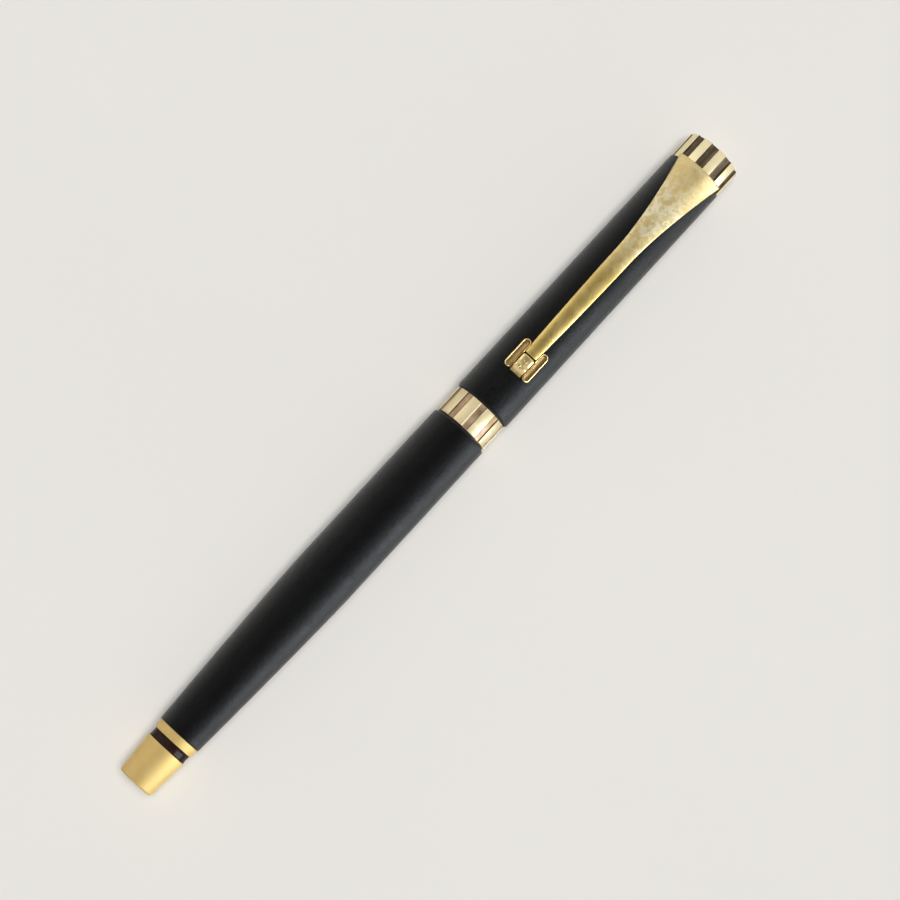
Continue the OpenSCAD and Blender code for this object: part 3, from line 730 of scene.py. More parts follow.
joint_start = [(x_thread, joint_bore), (x_thread, root_r)]
joint_end = [
    (x_mouth - THREAD_GAP, root_r),
    (x_mouth - THREAD_GAP, joint_r),
    (x_joint_end, joint_r),
    (x_joint_end, joint_bore),
]
section_thread = make_thread(
    "section_thread", joint_start, x_thread + THREAD_GAP, x_thread_end, root_r, THREAD_DEPTH, joint_end
)
bush_start = [
    (x_bush, bush_bore + 0.1 * MM),
    (x_bush, bush_r),
    (x_mouth, bush_r),
    (x_mouth, bush_bore + 0.3 * MM),
    (x_mouth - 0.3 * MM, bush_bore),
]
barrel_thread = make_thread(
    "barrel_thread", bush_start, x_thread_end, x_thread, bush_bore + THREAD_DEPTH, -THREAD_DEPTH, []
)
fit(section_thread, "section", "raw_brass", raw_brass, "section_joint")
fit(barrel_thread, "barrel", "raw_brass", raw_brass, "barrel_bush")

# Tail

FINIAL_TAPER = 0.45 * MM
SPRING_SEAT_L = 5.3 * MM
STUD_ROOM = 0.05 * MM
BAND_STEPS = 16

x_finial, x_tail_band = start_of("tail_finial"), start_of("tail_band")
x_ring = start_of("tail_ring")
x_spigot = end_of("tail_ring")
finial_r = outer_r("tail_finial", x_tail_band)
finial_tail_r = finial_r - FINIAL_TAPER
ring_tail_r = outer_r("tail_ring", x_ring)
ring_r = outer_r("tail_ring", x_barrel)
stud_r = inner_r("tail_ring", x_ring)
x_stud_end = end_of("tail_finial")
spring_bore = inner_r("tail_finial", x_stud_end)
x_spring_seat = x_finial + SPRING_SEAT_L


def make_finial():
    corners = [
        (x_finial, 0, 0),
        (x_finial, finial_tail_r, 0.36 * MM),
        (x_tail_band, finial_r, 0.07 * MM),
        (x_tail_band, stud_r - STUD_ROOM, 0),
        (x_stud_end, stud_r - STUD_ROOM, 0.1 * MM),
        (x_stud_end, spring_bore, 0.1 * MM),
        (x_spring_seat, spring_bore, 0),
        (x_spring_seat, 0, 0),
    ]
    return turned("tail_finial_cap", corners)


def make_tail_band():
    groove, flare = 0.17 * MM, 0.45
    waist = []
    for i in range(BAND_STEPS + 1):
        t = i / BAND_STEPS
        r = ring_tail_r - groove + groove * flare * abs(2 * t - 1) ** 4
        waist.append((x_tail_band + (x_ring - x_tail_band) * t, r))
    return revolve("tail_lacquer_band", [(x_tail_band, stud_r)] + waist + [(x_ring, stud_r)])


def make_tail_ring():
    corners = [
        (x_ring, stud_r, 0),
        (x_ring, ring_tail_r, 0.06 * MM),
        (x_barrel, ring_r, 0.05 * MM),
        (x_barrel, bore_r, 0),
        (x_spigot, bore_r, 0.1 * MM),
        (x_spigot, stud_r, 0.1 * MM),
    ]
    return turned("tail_gold_ring", corners)


fit(make_finial(), "barrel", "satin_gold", satin_gold, "tail_finial")
fit(make_tail_band(), "barrel", "dark_gloss", dark_lacquer, "tail_band")
fit(make_tail_ring(), "barrel", "gold", satin_gold, "tail_ring")

# Grip section

CLUTCH_RISE = 0.1 * MM
CLUTCH_SLOPE_L = 0.3 * MM
GRIP_TAPER = 0.3 * MM
GRIP_STEPS = 56
WAIST_DEPTH = 0.15 * MM
WAIST_POWER = 1.6
NOSE_STEPS = 32
NOSE_POWER = 1.25
NOSE_LEDGE_L = 3.7 * MM

x_clutch, x_grip = start_of("clutch_ring"), start_of("grip_section")
x_nose, x_nose_end = end_of("grip_section"), end_of("nose_cone")
clutch_r = outer_r("clutch_ring", x_clutch + CLUTCH_SLOPE_L)
grip_r = clutch_r - CLUTCH_RISE
grip_front_r = grip_r - GRIP_TAPER
x_shoulder = start_of("nose_cone")
nose_spigot_r = outer_r("nose_cone", x_shoulder)
nose_hole_r, nose_front_r = radii_near("nose_cone", x_nose_end)
nose_bore_r = inner_r("nose_cone", x_shoulder)


def make_clutch_ring():
    corners = [
        (x_clutch, joint_r, 0),
        (x_clutch, grip_r, 0.04 * MM),
        (x_clutch + CLUTCH_SLOPE_L, clutch_r, 0.15 * MM),
        (x_grip - CLUTCH_SLOPE_L, clutch_r, 0.15 * MM),
        (x_grip, grip_r, 0.04 * MM),
        (x_grip, joint_r, 0),
    ]
    return turned("clutch_gold_ring", corners)


def make_grip():
    edge = 0.25 * MM
    length = x_nose - x_grip
    waist = []
    for i in range(GRIP_STEPS + 1):
        t = i / GRIP_STEPS
        pull = WAIST_DEPTH * math.sin(math.pi * t**WAIST_POWER) ** 2
        r = grip_r - (grip_r - grip_front_r) * t - pull
        waist.append((x_grip + edge + (length - 2 * edge) * t, r, 0))
    corners = [(x_grip, joint_r, 0), (x_grip, grip_r - 0.02 * MM, 0.12 * MM)] + waist
    corners += [
        (x_nose, grip_front_r, 0.12 * MM),
        (x_nose, nose_spigot_r, 0),
        (x_shoulder, nose_spigot_r, 0),
        (x_shoulder, joint_bore, 0),
        (x_joint_end, joint_bore, 0),
        (x_joint_end, joint_r, 0),
    ]
    return turned("grip_shell", corners)


def make_nose():
    length = x_nose_end - x_nose
    x_hole = x_nose_end - 0.1 * MM - length + NOSE_LEDGE_L
    ogive = [(x_nose, grip_front_r - 0.02 * MM, 0.05 * MM)]
    for i in range(1, NOSE_STEPS):
        t = i / NOSE_STEPS
        r = nose_front_r + (grip_front_r - nose_front_r) * (1 - t**NOSE_POWER)
        ogive.append((x_nose + length * t, r, 0))
    corners = [(x_shoulder, nose_bore_r, 0), (x_shoulder, nose_spigot_r, 0), (x_nose, nose_spigot_r, 0)]
    corners += ogive
    corners += [
        (x_nose_end, nose_front_r, 0.12 * MM),
        (x_nose_end, nose_hole_r, 0.08 * MM),
        (x_hole, nose_hole_r, 0),
        (x_hole, nose_bore_r, 0),
    ]
    return turned("nose_gold_cone", corners)


fit(make_clutch_ring(), "section", "gold", polished_gold, "clutch_ring")
fit(make_grip(), "section", "black_coat", powder_black, "grip_section")
fit(make_nose(), "section", "gold", polished_gold, "nose_cone")

# Refill

WIRE_R = 0.2 * MM
WIRE_SIDES = 16
COILS = 8
COIL_STEPS = 48
CLOSED_PITCH = 0.432 * MM
BALL_STEPS = 24
SEAT_STEPS = 5

x_refill = start_of("refill_end_plug")
x_tube, x_housing = start_of("refill_tube"), end_of("refill_tube")
refill_r, reservoir_r = outer_r("refill_tube", x_tube), inner_r("refill_tube", x_tube)
x_neck_end = end_of("refill_housing")
neck_r = outer_r("refill_housing", x_neck_end) + 0.2 * MM
feed_r = inner_r("refill_housing", start_of("refill_housing"))
x_plug_end = end_of("refill_end_plug")
x_tip_seat, x_tip_end = start_of("refill_tip"), end_of("refill_tip")
tip_r = outer_r("refill_tip", x_tip_seat)
ball_lo, ball_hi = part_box("writing_ball")
ball_r = (ball_hi.x - ball_lo.x) / 2
x_ball = (ball_hi.x + ball_lo.x) / 2
coil_start, coil_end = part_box("refill_spring")


def make_refill_tube():
    corners = [
        (x_tube, reservoir_r, 0),
        (x_tube, refill_r, 0.05 * MM),
        (x_housing, refill_r, 0.05 * MM),
        (x_housing, reservoir_r, 0),
    ]
    return turned("refill_white_tube", corners)


def make_refill_plug():
    nub_r, nub_l = 1.1 * MM, 0.8 * MM
    corners = [
        (x_refill, 0, 0),
        (x_refill, nub_r, 0.15 * MM),
        (x_refill + nub_l, nub_r, 0.05 * MM),
        (x_refill + nub_l, refill_r, 0.12 * MM),
        (x_tube, refill_r, 0.05 * MM),
        (x_tube, reservoir_r, 0),
        (x_plug_end, reservoir_r, 0.1 * MM),
        (x_plug_end, 0, 0),
    ]
    return turned("refill_rear_plug", corners)


def make_refill_housing():
    start = start_of("refill_housing")
    corners = [
        (start, feed_r, 0),
        (start, reservoir_r, 0.05 * MM),
        (x_housing, reservoir_r, 0),
        (x_housing, refill_r, 0.08 * MM),
        (x_shoulder, refill_r, 0.25 * MM),
        (x_shoulder, neck_r, 0.1 * MM),
        (x_neck_end, neck_r, 0.25 * MM),
        (x_neck_end, tip_r, 0),
        (x_tip_seat, tip_r, 0),
        (x_tip_seat, feed_r, 0),
    ]
    return turned("refill_front_housing", corners)


def make_refill_tip():
    cone_l, duct_r = 1.8 * MM, ball_r / 2
    rim_r, seat_r = ball_r + 0.1 * MM, ball_r + 0.02 * MM
    seat = []
    for i in range(SEAT_STEPS + 1):
        a = math.acos(duct_r / seat_r) * i / SEAT_STEPS
        seat.append((x_ball - seat_r * math.sin(a), seat_r * math.cos(a), 0))
    corners = [
        (x_tip_seat, duct_r, 0),
        (x_tip_seat, tip_r, 0.05 * MM),
        (x_tip_end - cone_l, tip_r, 0.3 * MM),
        (x_tip_end, rim_r, 0.03 * MM),
        (x_tip_end, seat_r, 0),
    ]
    return turned("refill_steel_tip", corners + seat)


def make_ball():
    angles = [math.pi * i / BALL_STEPS for i in range(1, BALL_STEPS)]
    outline = [(x_ball - ball_r * math.cos(a), ball_r * math.sin(a)) for a in angles]
    outline = [(x_ball - ball_r, 0)] + outline + [(x_ball + ball_r, 0)]
    return revolve("writing_carbide_ball", outline, closed=False)


def make_spring():
    """A coil with its end turns closed up."""
    coil_r = (coil_end.z - coil_start.z) / 2 - WIRE_R
    length = coil_end.x - coil_start.x - 2 * WIRE_R
    open_pitch = (length - 2 * CLOSED_PITCH) / (COILS - 2)

    def rise(t):
        if t < 1:
            return CLOSED_PITCH * t
        if t > COILS - 1:
            return length - CLOSED_PITCH * (COILS - t)
        return CLOSED_PITCH + open_pitch * (t - 1)

    loops = []
    for i in range(COILS * COIL_STEPS + 1):
        t = i / COIL_STEPS
        a = 2 * math.pi * t
        x = coil_start.x + WIRE_R + rise(t)
        loop = []
        for k in range(WIRE_SIDES):
            b = 2 * math.pi * k / WIRE_SIDES
            r = coil_r + WIRE_R * math.cos(b)
            loop.append((x + WIRE_R * math.sin(b), r * math.sin(a), AXIS_H + r * math.cos(a)))
        loops.append(loop)
    return as_object("refill_coil_spring", *closed_loft(loops))


fit(make_refill_tube(), "refill", "white_plastic", moulded_white, "refill_tube")
fit(make_refill_plug(), "refill", "black_plastic", moulded_black, "refill_end_plug")
fit(make_refill_housing(), "refill", "black_plastic", moulded_black, "refill_housing")
fit(make_refill_tip(), "refill", "steel", tip_steel, "refill_tip")
fit(make_ball(), "ball", "carbide", hard_carbide, "writing_ball")

coil_spring = make_spring()
fit(coil_spring, "spring", "steel", spring_steel, "refill_spring")
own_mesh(coil_spring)

# Cap

CAP_TAPER = 0.11 * MM
BAND_STEP = 0.28 * MM
BAND_FLUTE_W, BAND_FLUTE_DEPTH = 1.3 * MM, 0.22 * MM
SEAM_L = 0.3 * MM
RIDGE_RISE = 0.05 * MM
CROWN_STEP = 0.055 * MM
CROWN_FLUTE_W, CROWN_FLUTE_DEPTH = 1.6 * MM, 0.5 * MM
CROWN_PHASE = math.radians(-10)
SCREW_R = 1.5 * MM
SCREW_L = 3 * MM
HOOK_BACK = 2.85 * MM
HOOK_L = 1.2 * MM
HOOK_FOOT_L = 0.8 * MM
HOOK_W = 2.6 * MM
HOOK_ROOM = 0.35 * MM

x_band, x_cap = start_of("cap_band"), start_of("cap_tube")
x_crown_seat = end_of("cap_tube")
x_crown_end = end_of("cap_crown")
x_spigot_end = end_of("cap_band")
cap_bore = inner_r("cap_tube", x_crown_seat)
cap_top_r = outer_r("cap_tube", x_crown_seat)
cap_mouth_r = cap_top_r + CAP_TAPER
band_r = mouth_r - BAND_STEP
liner_bore = inner_r("cap_band", x_spigot_end)
x_clip = end_of("pocket_clip")
x_hook = x_clip - HOOK_BACK - HOOK_L


def cap_r(x):
    return cap_mouth_r - (cap_mouth_r - cap_top_r) * (x - x_cap) / (x_crown_seat - x_cap)


def make_cap_tube():
    """The tube, with a window for the clip's hook."""
    corners = [
        (x_cap, cap_bore, 0.03 * MM),
        (x_cap, cap_mouth_r, 0.3 * MM),
        (x_crown_seat, cap_top_r, 0.06 * MM),
        (x_crown_seat, cap_bore, 0),
    ]
    tube = turned("cap_shell", corners)
    x0 = x_hook - HOOK_FOOT_L - HOOK_ROOM
    x1 = x_hook + HOOK_L + HOOK_ROOM
    half = HOOK_W / 2 + HOOK_ROOM
    z0, z1 = AXIS_H + 3 * MM, AXIS_H + cap_mouth_r + MM
    verts = [(x, y, z) for x in (x0, x1) for y in (-half, half) for z in (z0, z1)]
    faces = [[0, 1, 3, 2], [4, 6, 7, 5], [0, 4, 5, 1], [2, 3, 7, 6], [0, 2, 6, 4], [1, 5, 7, 3]]
    cutter = as_object("hook_window", verts, faces, smooth=False)
    cut = tube.modifiers.new("hook_window", "BOOLEAN")
    cut.operation, cut.object, cut.solver = "DIFFERENCE", cutter, "EXACT"
    bpy.context.view_layer.update()
    shaped = tube.evaluated_get(bpy.context.evaluated_depsgraph_get())
    mesh = bpy.data.meshes.new_from_object(shaped)
    tube.modifiers.clear()
    tube.data = mesh
    bpy.data.objects.remove(cutter)
    mesh.set_sharp_from_angle(angle=SHARP_ANGLE)
    return tube


def eased_edge(x, r, size, way=1):
    """Takes the edge off a rim of radius r. way says on which side of x the piece goes on."""
    return [(x, r - size), (x + way * size * 0.3, r - size * 0.3), (x + way * size, r)]


def make_cap_band():
    bevel = 0.05 * MM
    line_r = band_r - BAND_FLUTE_DEPTH
    section = fluted_section(
        band_r, BAND_FLUTE_DEPTH, BAND_FLUTE_W, BAND_FLUTE_W * 0.6, 0, 0.04 * MM, 0.06 * MM
    )
    x_ridge = x_grip + 0.6 * MM
    outline = [(x_band, liner_bore), (x_band, line_r), (x_band + SEAM_L, line_r)]
    outline += eased_edge(x_band + SEAM_L, band_r, bevel)
    outline += reversed(eased_edge(x_cap - SEAM_L, band_r, bevel, -1))
    outline += [
        (x_cap - SEAM_L, line_r),
        (x_cap, line_r),
        (x_cap, cap_bore),
        (x_spigot_end, cap_bore),
        (x_spigot_end, liner_bore),
        (x_ridge + MM, liner_bore),
        (x_ridge + 0.7 * MM, liner_bore - RIDGE_RISE),
        (x_ridge + 0.3 * MM, liner_bore - RIDGE_RISE),
        (x_ridge, liner_bore),
    ]
    return revolve("cap_fluted_band", outline, section)


def make_inner_cap():
    x0, x1 = start_of("inner_cap"), end_of("inner_cap")
    x_wall = x1 - 0.9 * MM
    corners = [
        (x0, liner_bore, 0),
        (x0, cap_bore, 0),
        (x1, cap_bore, 0.1 * MM),
        (x1, 0, 0),
        (x_wall, 0, 0),
        (x_wall, liner_bore, 0.5 * MM),
    ]
    return turned("cap_liner", corners)


def make_crown():
    crown_r = cap_top_r - CROWN_STEP
    bevel, chamfer = 0.06 * MM, 0.25 * MM
    section = fluted_section(
        crown_r, CROWN_FLUTE_DEPTH, CROWN_FLUTE_W, CROWN_FLUTE_W * 0.8, CROWN_PHASE, 0.05 * MM, 0.09 * MM
    )
    start = start_of("cap_crown")
    outline = [(start, SCREW_R), (start, cap_bore), (x_crown_seat, cap_bore)]
    outline += eased_edge(x_crown_seat, crown_r, bevel)
    outline += [
        (x_crown_end - chamfer, crown_r),
        (x_crown_end - chamfer * 0.6, crown_r - chamfer * 0.22),
        (x_crown_end - chamfer * 0.25, crown_r - chamfer * 0.58),
        (x_crown_end, crown_r - chamfer),
        (x_crown_end, crown_r - CROWN_FLUTE_DEPTH - 0.3 * MM),
        (x_crown_end, 0),
        (x_crown_seat + SCREW_L, 0),
        (x_crown_seat + SCREW_L, SCREW_R),
    ]
    return revolve("cap_fluted_crown", outline, section)


crown_gold = make_fluted_gold(
    "crown_gold",
    land_r=4.90,
    floor_r=4.50,
    lands=((0.84, 0.72, 0.42, 1), (0.88, 0.77, 0.50, 1)),
    painted_shade_floors=((0.09, 0.058, 0.034, 1), (0.25, 0.165, 0.105, 1)),
    painted_wall_shadow=(0.03, 0.018, 0.008, 1),
)
band_gold = make_fluted_gold(
    "band_gold",
    land_r=4.80,
    floor_r=4.64,
    lands=((0.69, 0.57, 0.33, 1), (0.75, 0.64, 0.41, 1)),
    painted_shade_floors=((0.24, 0.15, 0.07, 1), (0.50, 0.35, 0.23, 1)),
    painted_wall_shadow=(0.03, 0.017, 0.006, 1),
    seams=(x_band / MM, x_cap / MM),
)

fit(make_cap_tube(), "cap", "black_coat", powder_black, "cap_tube")
fit(make_cap_band(), "cap", "gold", band_gold, "cap_band")
fit(make_inner_cap(), "cap", "black_plastic", moulded_black, "inner_cap")
fit(make_crown(), "cap", "gold", crown_gold, "cap_crown")

# Clip

ROOT_W = 8.4 * MM
ARM_W = 3.3 * MM
END_W = 2.3 * MM
FLARE_L = 19 * MM
PLAN_POWER = 1.6
STRAP_T = 0.7 * MM
STRAP_GAP = 0.9 * MM
STRAP_STEPS = 24
STRAP_EDGE = 0.2 * MM
STRAP_ROUND = 0.19 * MM
EDGE_STEPS = 5
EDGE_SLOPE = 0.3
EDGE_WALL = 0.06 * MM
ARM_CROWN = 0.22 * MM
ARM_START, ARM_BLEND = 6 * MM, 16 * MM
LIP_GAP = 0.12 * MM
LIP_L = 2.0 * MM
DISH_START = 0.40 * MM
DISH_NEAR = 0.75 * MM
DISH_RETURN = 8 * MM
DISH_DEPTH = 0.14 * MM
SHOE_W = 5.1 * MM
SHOE_BASE_T = 0.42 * MM
SHOE_GAP = 0.03 * MM
RIM_H = 1.1 * MM
WING_GAP = 0.03 * MM
WING_CORNER, BLOCK_CORNER = 1.0 * MM, 0.35 * MM
BLOCK_L = 3.5 * MM
BLOCK_W = 2.3 * MM
BLOCK_H = 1.2 * MM

x_strap_end = start_of("pocket_clip")
strap_l = x_clip - x_strap_end
x_shoe, x_shoe_end = start_of("clip_shoe"), end_of("clip_shoe")


def strap_half(d):
    """Half the strap's width at a distance from its wide end."""
    if d < FLARE_L:
        return (ARM_W + (ROOT_W - ARM_W) * (1 - d / FLARE_L) ** PLAN_POWER) / 2
    return (ARM_W - (ARM_W - END_W) * ((d - FLARE_L) / (strap_l - FLARE_L)) ** PLAN_POWER) / 2


def strap_lift(d):
    """How far the strap stands off the cap."""
    root = ease((d - LIP_L) / (FLARE_L * 0.6))
    tip = ease((d - strap_l * 0.72) / (strap_l * 0.24))
    return LIP_GAP + (STRAP_GAP - LIP_GAP) * root - (STRAP_GAP - SHOE_BASE_T - SHOE_GAP) * tip


def dish(d):
    """How far the face is sunk behind the lip of the wide end."""
    if d < DISH_NEAR:
        return DISH_DEPTH * ease((d - DISH_START) / (DISH_NEAR - DISH_START))
    return DISH_DEPTH * (1 - ease((d - DISH_NEAR) / DISH_RETURN))


def rounding(near):
    """How far a quarter round of STRAP_ROUND has drawn in, at a distance from the strap's end."""
    s = min(1.0, near / STRAP_ROUND)
    return STRAP_ROUND * (1 - math.sqrt(max(0.0, 1 - (1 - s) ** 2)))


def strap_loop(d):
    """The strap's closed section: across its face, down one edge, back below and up the other edge."""
    half = strap_half(d)
    base = cap_r(x_clip - d) + strap_lift(d)
    pull = rounding(min(d, strap_l - d))
    arm = ease((d - ARM_START) / ARM_BLEND)
    bend = 1 - 0.5 * arm
    top_r = base + STRAP_T - dish(d) - pull * 0.9
    low_r = base + pull * 0.9
    w = half - pull * 0.4
    flat = w - STRAP_EDGE

    def top(y):
        return math.sqrt(top_r**2 - bend * y * y) - ARM_CROWN * arm * (y / half) * (y / half)

    def low(y):
        return math.sqrt(low_r**2 - bend * y * y)

    face = [-flat + 2 * flat * k / STRAP_STEPS for k in range(STRAP_STEPS + 1)]
    under = [(w - 0.05 * MM) * (1 - 2 * k / STRAP_STEPS) for k in range(STRAP_STEPS + 1)]
    edge_t = min(STRAP_EDGE, (top(flat) - low(flat)) / 2)
    edge = []
    for k in range(1, EDGE_STEPS):
        a = math.pi / 2 * k / EDGE_STEPS
        out = STRAP_EDGE * math.sin(a)
        edge.append((flat + out, top(flat) - edge_t * (1 - math.cos(a)) - EDGE_SLOPE * out))
    edge += [(w, top(flat) - edge_t - EDGE_SLOPE * STRAP_EDGE), (w, low(w) + EDGE_WALL)]
    loop = [(y, top(y)) for y in face] + edge + [(y, low(y)) for y in under]
    loop += [(-y, r) for y, r in reversed(edge)]
    return [(x_clip - d, y, AXIS_H + r) for y, r in loop]


def make_clip_strap():
    lip_l, tip_l = 2.8 * MM, 0.21 * MM
    near_l = STRAP_ROUND + lip_l
    stations = [0.012 * MM * i * i for i in range(5)]
    stations += [STRAP_ROUND + lip_l * i / 30 for i in range(1, 31)]
    stations += [near_l + (strap_l - near_l - tip_l) * i / 150 for i in range(1, 151)]
    stations += [strap_l - tip_l + tip_l * math.sin(math.pi / 2 * i / 5) for i in range(1, 6)]
    verts, faces = loft([strap_loop(d) for d in stations])
    count = len(verts) // len(stations)
    low_first = STRAP_STEPS + 1 + EDGE_STEPS + 1
    for first in (0, len(verts) - count):
        below = first + low_first + STRAP_STEPS
        for k in range(STRAP_STEPS):
            faces.append([first + k, first + k + 1, below - k - 1, below - k])
        faces.append([first + i for i in range(STRAP_STEPS, low_first + 1)])
        faces.append([first + i for i in list(range(low_first + STRAP_STEPS, count)) + [0]])
    return verts, faces


def make_clip_hook():
    z1 = AXIS_H + cap_bore - HOOK_ROOM
    z0 = z1 - 0.5 * MM
    z2 = AXIS_H + cap_top_r + LIP_GAP + STRAP_T / 2
    side = soften([
        (x_hook - HOOK_FOOT_L, z0, 0.1 * MM),
        (x_hook + HOOK_L, z0, 0.3 * MM),
        (x_hook + HOOK_L, z2, 0),
        (x_hook, z2, 0),
        (x_hook, z1, 0.1 * MM),
        (x_hook - HOOK_FOOT_L, z1, 0.1 * MM),
    ])
    return closed_loft([[(x, y, z) for x, z in side] for y in (-HOOK_W / 2, HOOK_W / 2)])


def rounded_ring(x0, x1, y0, y1, corner, steps=8):
    """Points round a rectangle with rounded corners, and along its sides."""
    corner = min(corner, (x1 - x0) / 2, (y1 - y0) / 2)
    ring = []
    for cx, cy, start in (
        (x1 - corner, y1 - corner, 0),
        (x0 + corner, y1 - corner, 90),
        (x0 + corner, y0 + corner, 180),
        (x1 - corner, y0 + corner, 270),
    ):
        for k in range(steps + 1):
            a = math.radians(start + 90 * k / steps)
            ring.append((cx + corner * math.cos(a), cy + corner * math.sin(a)))
    points = []
    for i, (x, y) in enumerate(ring):
        points.append((x, y))
        if (i + 1) % (steps + 1) == 0:
            dx, dy = ring[(i + 1) % len(ring)][0] - x, ring[(i + 1) % len(ring)][1] - y
            cuts = 14 if abs(dx) > abs(dy) else 6
            points += [(x + dx * k / cuts, y + dy * k / cuts) for k in range(1, cuts)]
    return points


def on_cap(x, y, h):
    """A spot at a height above the cap's surface."""
    r = cap_r(x) + h
    return (x, y, AXIS_H + math.sqrt(max(r * r - y * y, 0)))


def pillow(x0, x1, y0, y1, corner, insets, height):
    """A plate on the cap's curve with a shaped top. height gives the top at a spot and an inset."""

    def inner_ring(inset, r):
        return rounded_ring(x0 + inset, x1 - inset, y0 + inset, y1 - inset, r)

    rings = [
        [on_cap(x, y, SHOE_GAP) for x, y in inner_ring(0.05 * MM, corner)],
        [on_cap(x, y, SHOE_GAP + 0.06 * MM) for x, y in inner_ring(0, corner)],
    ]
    for inset in insets:
        ring = inner_ring(inset, max(corner - inset, 0.02 * MM))
        rings.append([on_cap(x, y, height(x, y, inset)) for x, y in ring])
    verts, faces = loft(rings)
    count = len(rings[0])
    last, top = len(verts) - count, len(verts)
    x = sum(p[0] for p in rings[-1]) / count
    y = sum(p[1] for p in rings[-1]) / count
    verts += [on_cap(x, y, height(x, y, insets[-1])), on_cap(x, y, SHOE_GAP)]
    faces += [[last + k, last + (k + 1) % count, top] for k in range(count)]
    faces += [[(k + 1) % count, k, top + 1] for k in range(count)]
    return verts, faces


def wing_height(x, y, inset):
    """A dish with a raised rim, open on its inner side beside the block."""
    open_side = 1 - ease((abs(y) - BLOCK_W / 2) / (0.5 * MM))
    by_block = 1 - ease((x - x_shoe - BLOCK_L + 0.5 * MM) / (0.5 * MM))
    crest = 0.07 * MM
    if inset < crest:
        rim = 0.80 + 0.20 * math.sqrt(1 - (1 - inset / crest) ** 2)
    else:
        rim = 1 - ease((inset - 0.14 * MM) / (0.20 * MM))
    return SHOE_BASE_T + (RIM_H - SHOE_BASE_T) * rim * (1 - 0.9 * open_side * by_block)


def block_height(x, y, inset):
    """A small saddle with a low nose at the shoe's tip and rolled edges."""
    s = (x - x_shoe) / BLOCK_L
    saddle = 0.16 * MM * math.exp(-(((s - 0.62) / 0.2) ** 2))
    nose = 0.7 * MM * (1 - ease(s / 0.42))
    crown = 0.12 * MM * (y / (BLOCK_W / 2)) ** 2
    roll = 0.22 * MM * (1 - math.sqrt(max(0.0, 1 - max(0.0, 1 - inset / (0.3 * MM)) ** 2)))
    return BLOCK_H - saddle - nose - crown - roll


def make_clip_shoe():
    wing_insets = [i * MM for i in (0, 0.02, 0.045, 0.07, 0.12, 0.17, 0.22, 0.27, 0.32, 0.37, 0.60)]
    block_insets = [i * MM for i in (0, 0.03, 0.08, 0.16, 0.3, 0.5, 0.7, 0.95)]
    half, block_half = SHOE_W / 2, BLOCK_W / 2
    inner = block_half + WING_GAP
    x_block = x_shoe + BLOCK_L
    return join_shells("clip_shoe_wings", [
        pillow(x_shoe, x_shoe_end, inner, half, WING_CORNER, wing_insets, wing_height),
        pillow(x_shoe, x_shoe_end, -half, -inner, WING_CORNER, wing_insets, wing_height),
        pillow(x_shoe, x_block, -block_half, block_half, BLOCK_CORNER, block_insets, block_height),
    ])


clip_strap = join_shells("clip_strap", [make_clip_strap(), make_clip_hook()])
fit(clip_strap, "clip", "gold", clip_gold, "pocket_clip")
fit(make_clip_shoe(), "clip", "gold", shoe_gold, "clip_shoe")

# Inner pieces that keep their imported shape

for node, material in (
    ("ink_core", ink_fibre),
    ("feed_rod", ink_fibre),
    ("clip_bush", raw_brass),
    ("crown_screw", tip_steel),
):
    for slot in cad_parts[node].material_slots:
        slot.material = material

# Floor, light and camera

FLOOR_HALF = 1.5
ZENITH = (0.36, 0.355, 0.35, 1)
HORIZON = (0.92, 0.915, 0.90, 1)
ROOM_DIFFUSE = 0.2
SUN_SPREAD = math.radians(26.0)
SUN_STRENGTH = 2.6
BOX_L = 1.1
CAMERA_SPOT = (-0.0474, 0.02462, 0.46951)
CAMERA_TARGET = (0.003859, -0.001001, 0.00515)
CAMERA_UP = math.radians(42.66)
CAMERA_LENS = 117.19


def look_from(thing, spot, target, up):
    forward = (Vector(target) - Vector(spot)).normalized()
    right = forward.cross(Vector(up)).normalized()
    top = right.cross(forward)
    facing = Matrix((right, top, -forward)).transposed()
    thing.matrix_world = Matrix.Translation(spot) @ facing.to_4x4()


def make_floor():
    h = FLOOR_HALF
    mesh = bpy.data.meshes.new("floor")
    mesh.from_pydata([(-h, -h, 0), (h, -h, 0), (h, h, 0), (-h, h, 0)], [], [[0, 1, 2, 3]])
    mesh.materials.append(make_floor_paint())
    into_scene("floor", mesh)


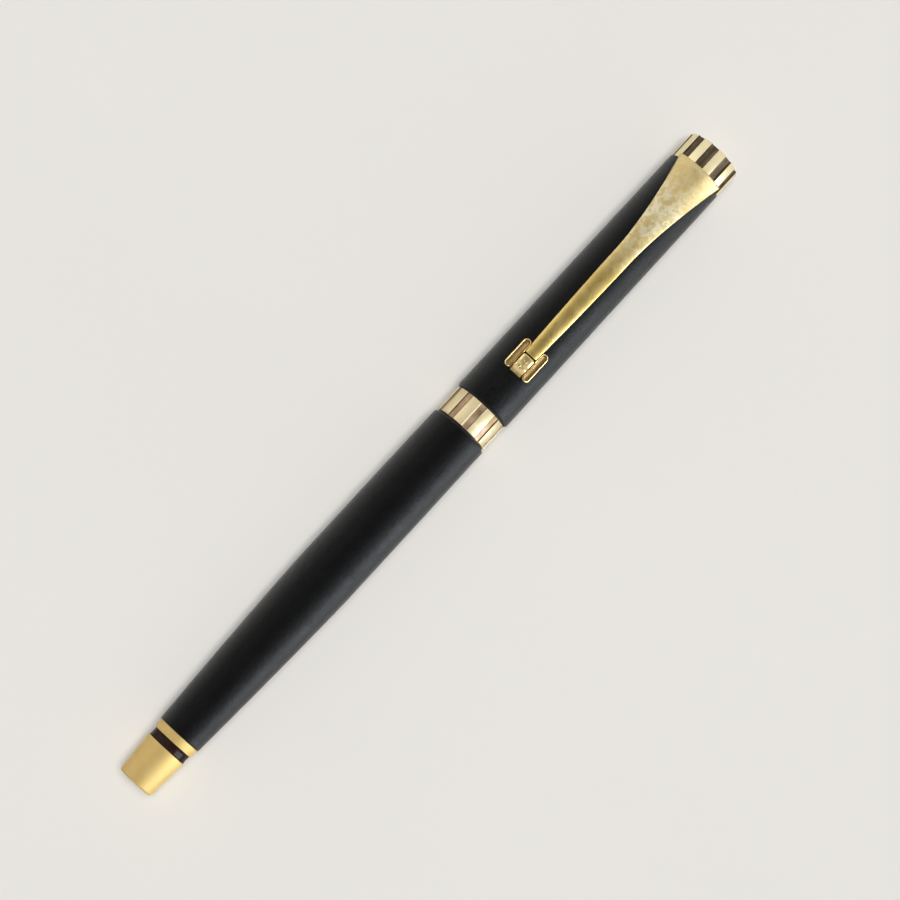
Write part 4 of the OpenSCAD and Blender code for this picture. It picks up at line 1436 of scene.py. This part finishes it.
def lamp(name, kind, strength, colour):
    light = bpy.data.lights.new(name, kind)
    light.energy, light.color = strength, colour
    return light, into_scene(name, light)


def overhead_sun():
    """A broad light from straight above, seen on the matte surfaces and not in the gold."""
    light, sun = lamp("overhead_light", "SUN", SUN_STRENGTH, (1.0, 0.985, 0.96))
    light.angle = SUN_SPREAD
    sun.location = (0, 0, 1)
    sun.visible_glossy = False


def side_box(name, spot, height, power, colour):
    """A long softbox beside the pen, seen only in what shines."""
    light, box = lamp(name, "AREA", power, colour)
    light.shape = "RECTANGLE"
    light.size, light.size_y = BOX_L, height
    middle = ((cad_box[0][0] + cad_box[1][0]) / 2, 0, AXIS_H)
    look_from(box, spot, middle, (1, 0, 0.01))
    box.visible_diffuse = False


def make_room():
    """A pale room, darker straight above, that lights matte surfaces less than it shows in shiny ones."""
    world = bpy.data.worlds.new("pale_room")
    bpy.context.scene.world = world
    world.use_nodes = True
    tree = world.node_tree
    back = tree.nodes["Background"]
    spot = add(tree, "TexCoord").outputs["Generated"]
    height = add(tree, "SeparateXYZ", {0: spot}).outputs["Z"]
    shade = remap(tree, height, 0.80, 0.985, 1.0, 0.0, smooth=True)
    soft = add(tree, "LightPath").outputs["Is Diffuse Ray"]
    plug(back.inputs["Color"], mix(tree, shade, ZENITH, HORIZON))
    plug(back.inputs["Strength"], between(tree, soft, 1.0, ROOM_DIFFUSE))


def make_camera():
    lens = bpy.data.cameras.new("camera")
    lens.lens, lens.sensor_width = CAMERA_LENS, 36.0
    lens.clip_start, lens.clip_end = 0.01, 20.0
    camera = into_scene("camera", lens)
    look_from(camera, CAMERA_SPOT, CAMERA_TARGET, (math.cos(CAMERA_UP), math.sin(CAMERA_UP), 0))
    bpy.context.scene.camera = camera


make_floor()
make_room()
overhead_sun()
side_box("low_side_box", (0.02, -0.75, 0.12), 0.28, 10.0, (0.84, 0.92, 1.0))
side_box("far_side_box", (0.0, 0.70, 0.30), 0.30, 0.8, (1.0, 0.96, 0.90))
make_camera()
bpy.context.scene.view_settings.view_transform = "Standard"
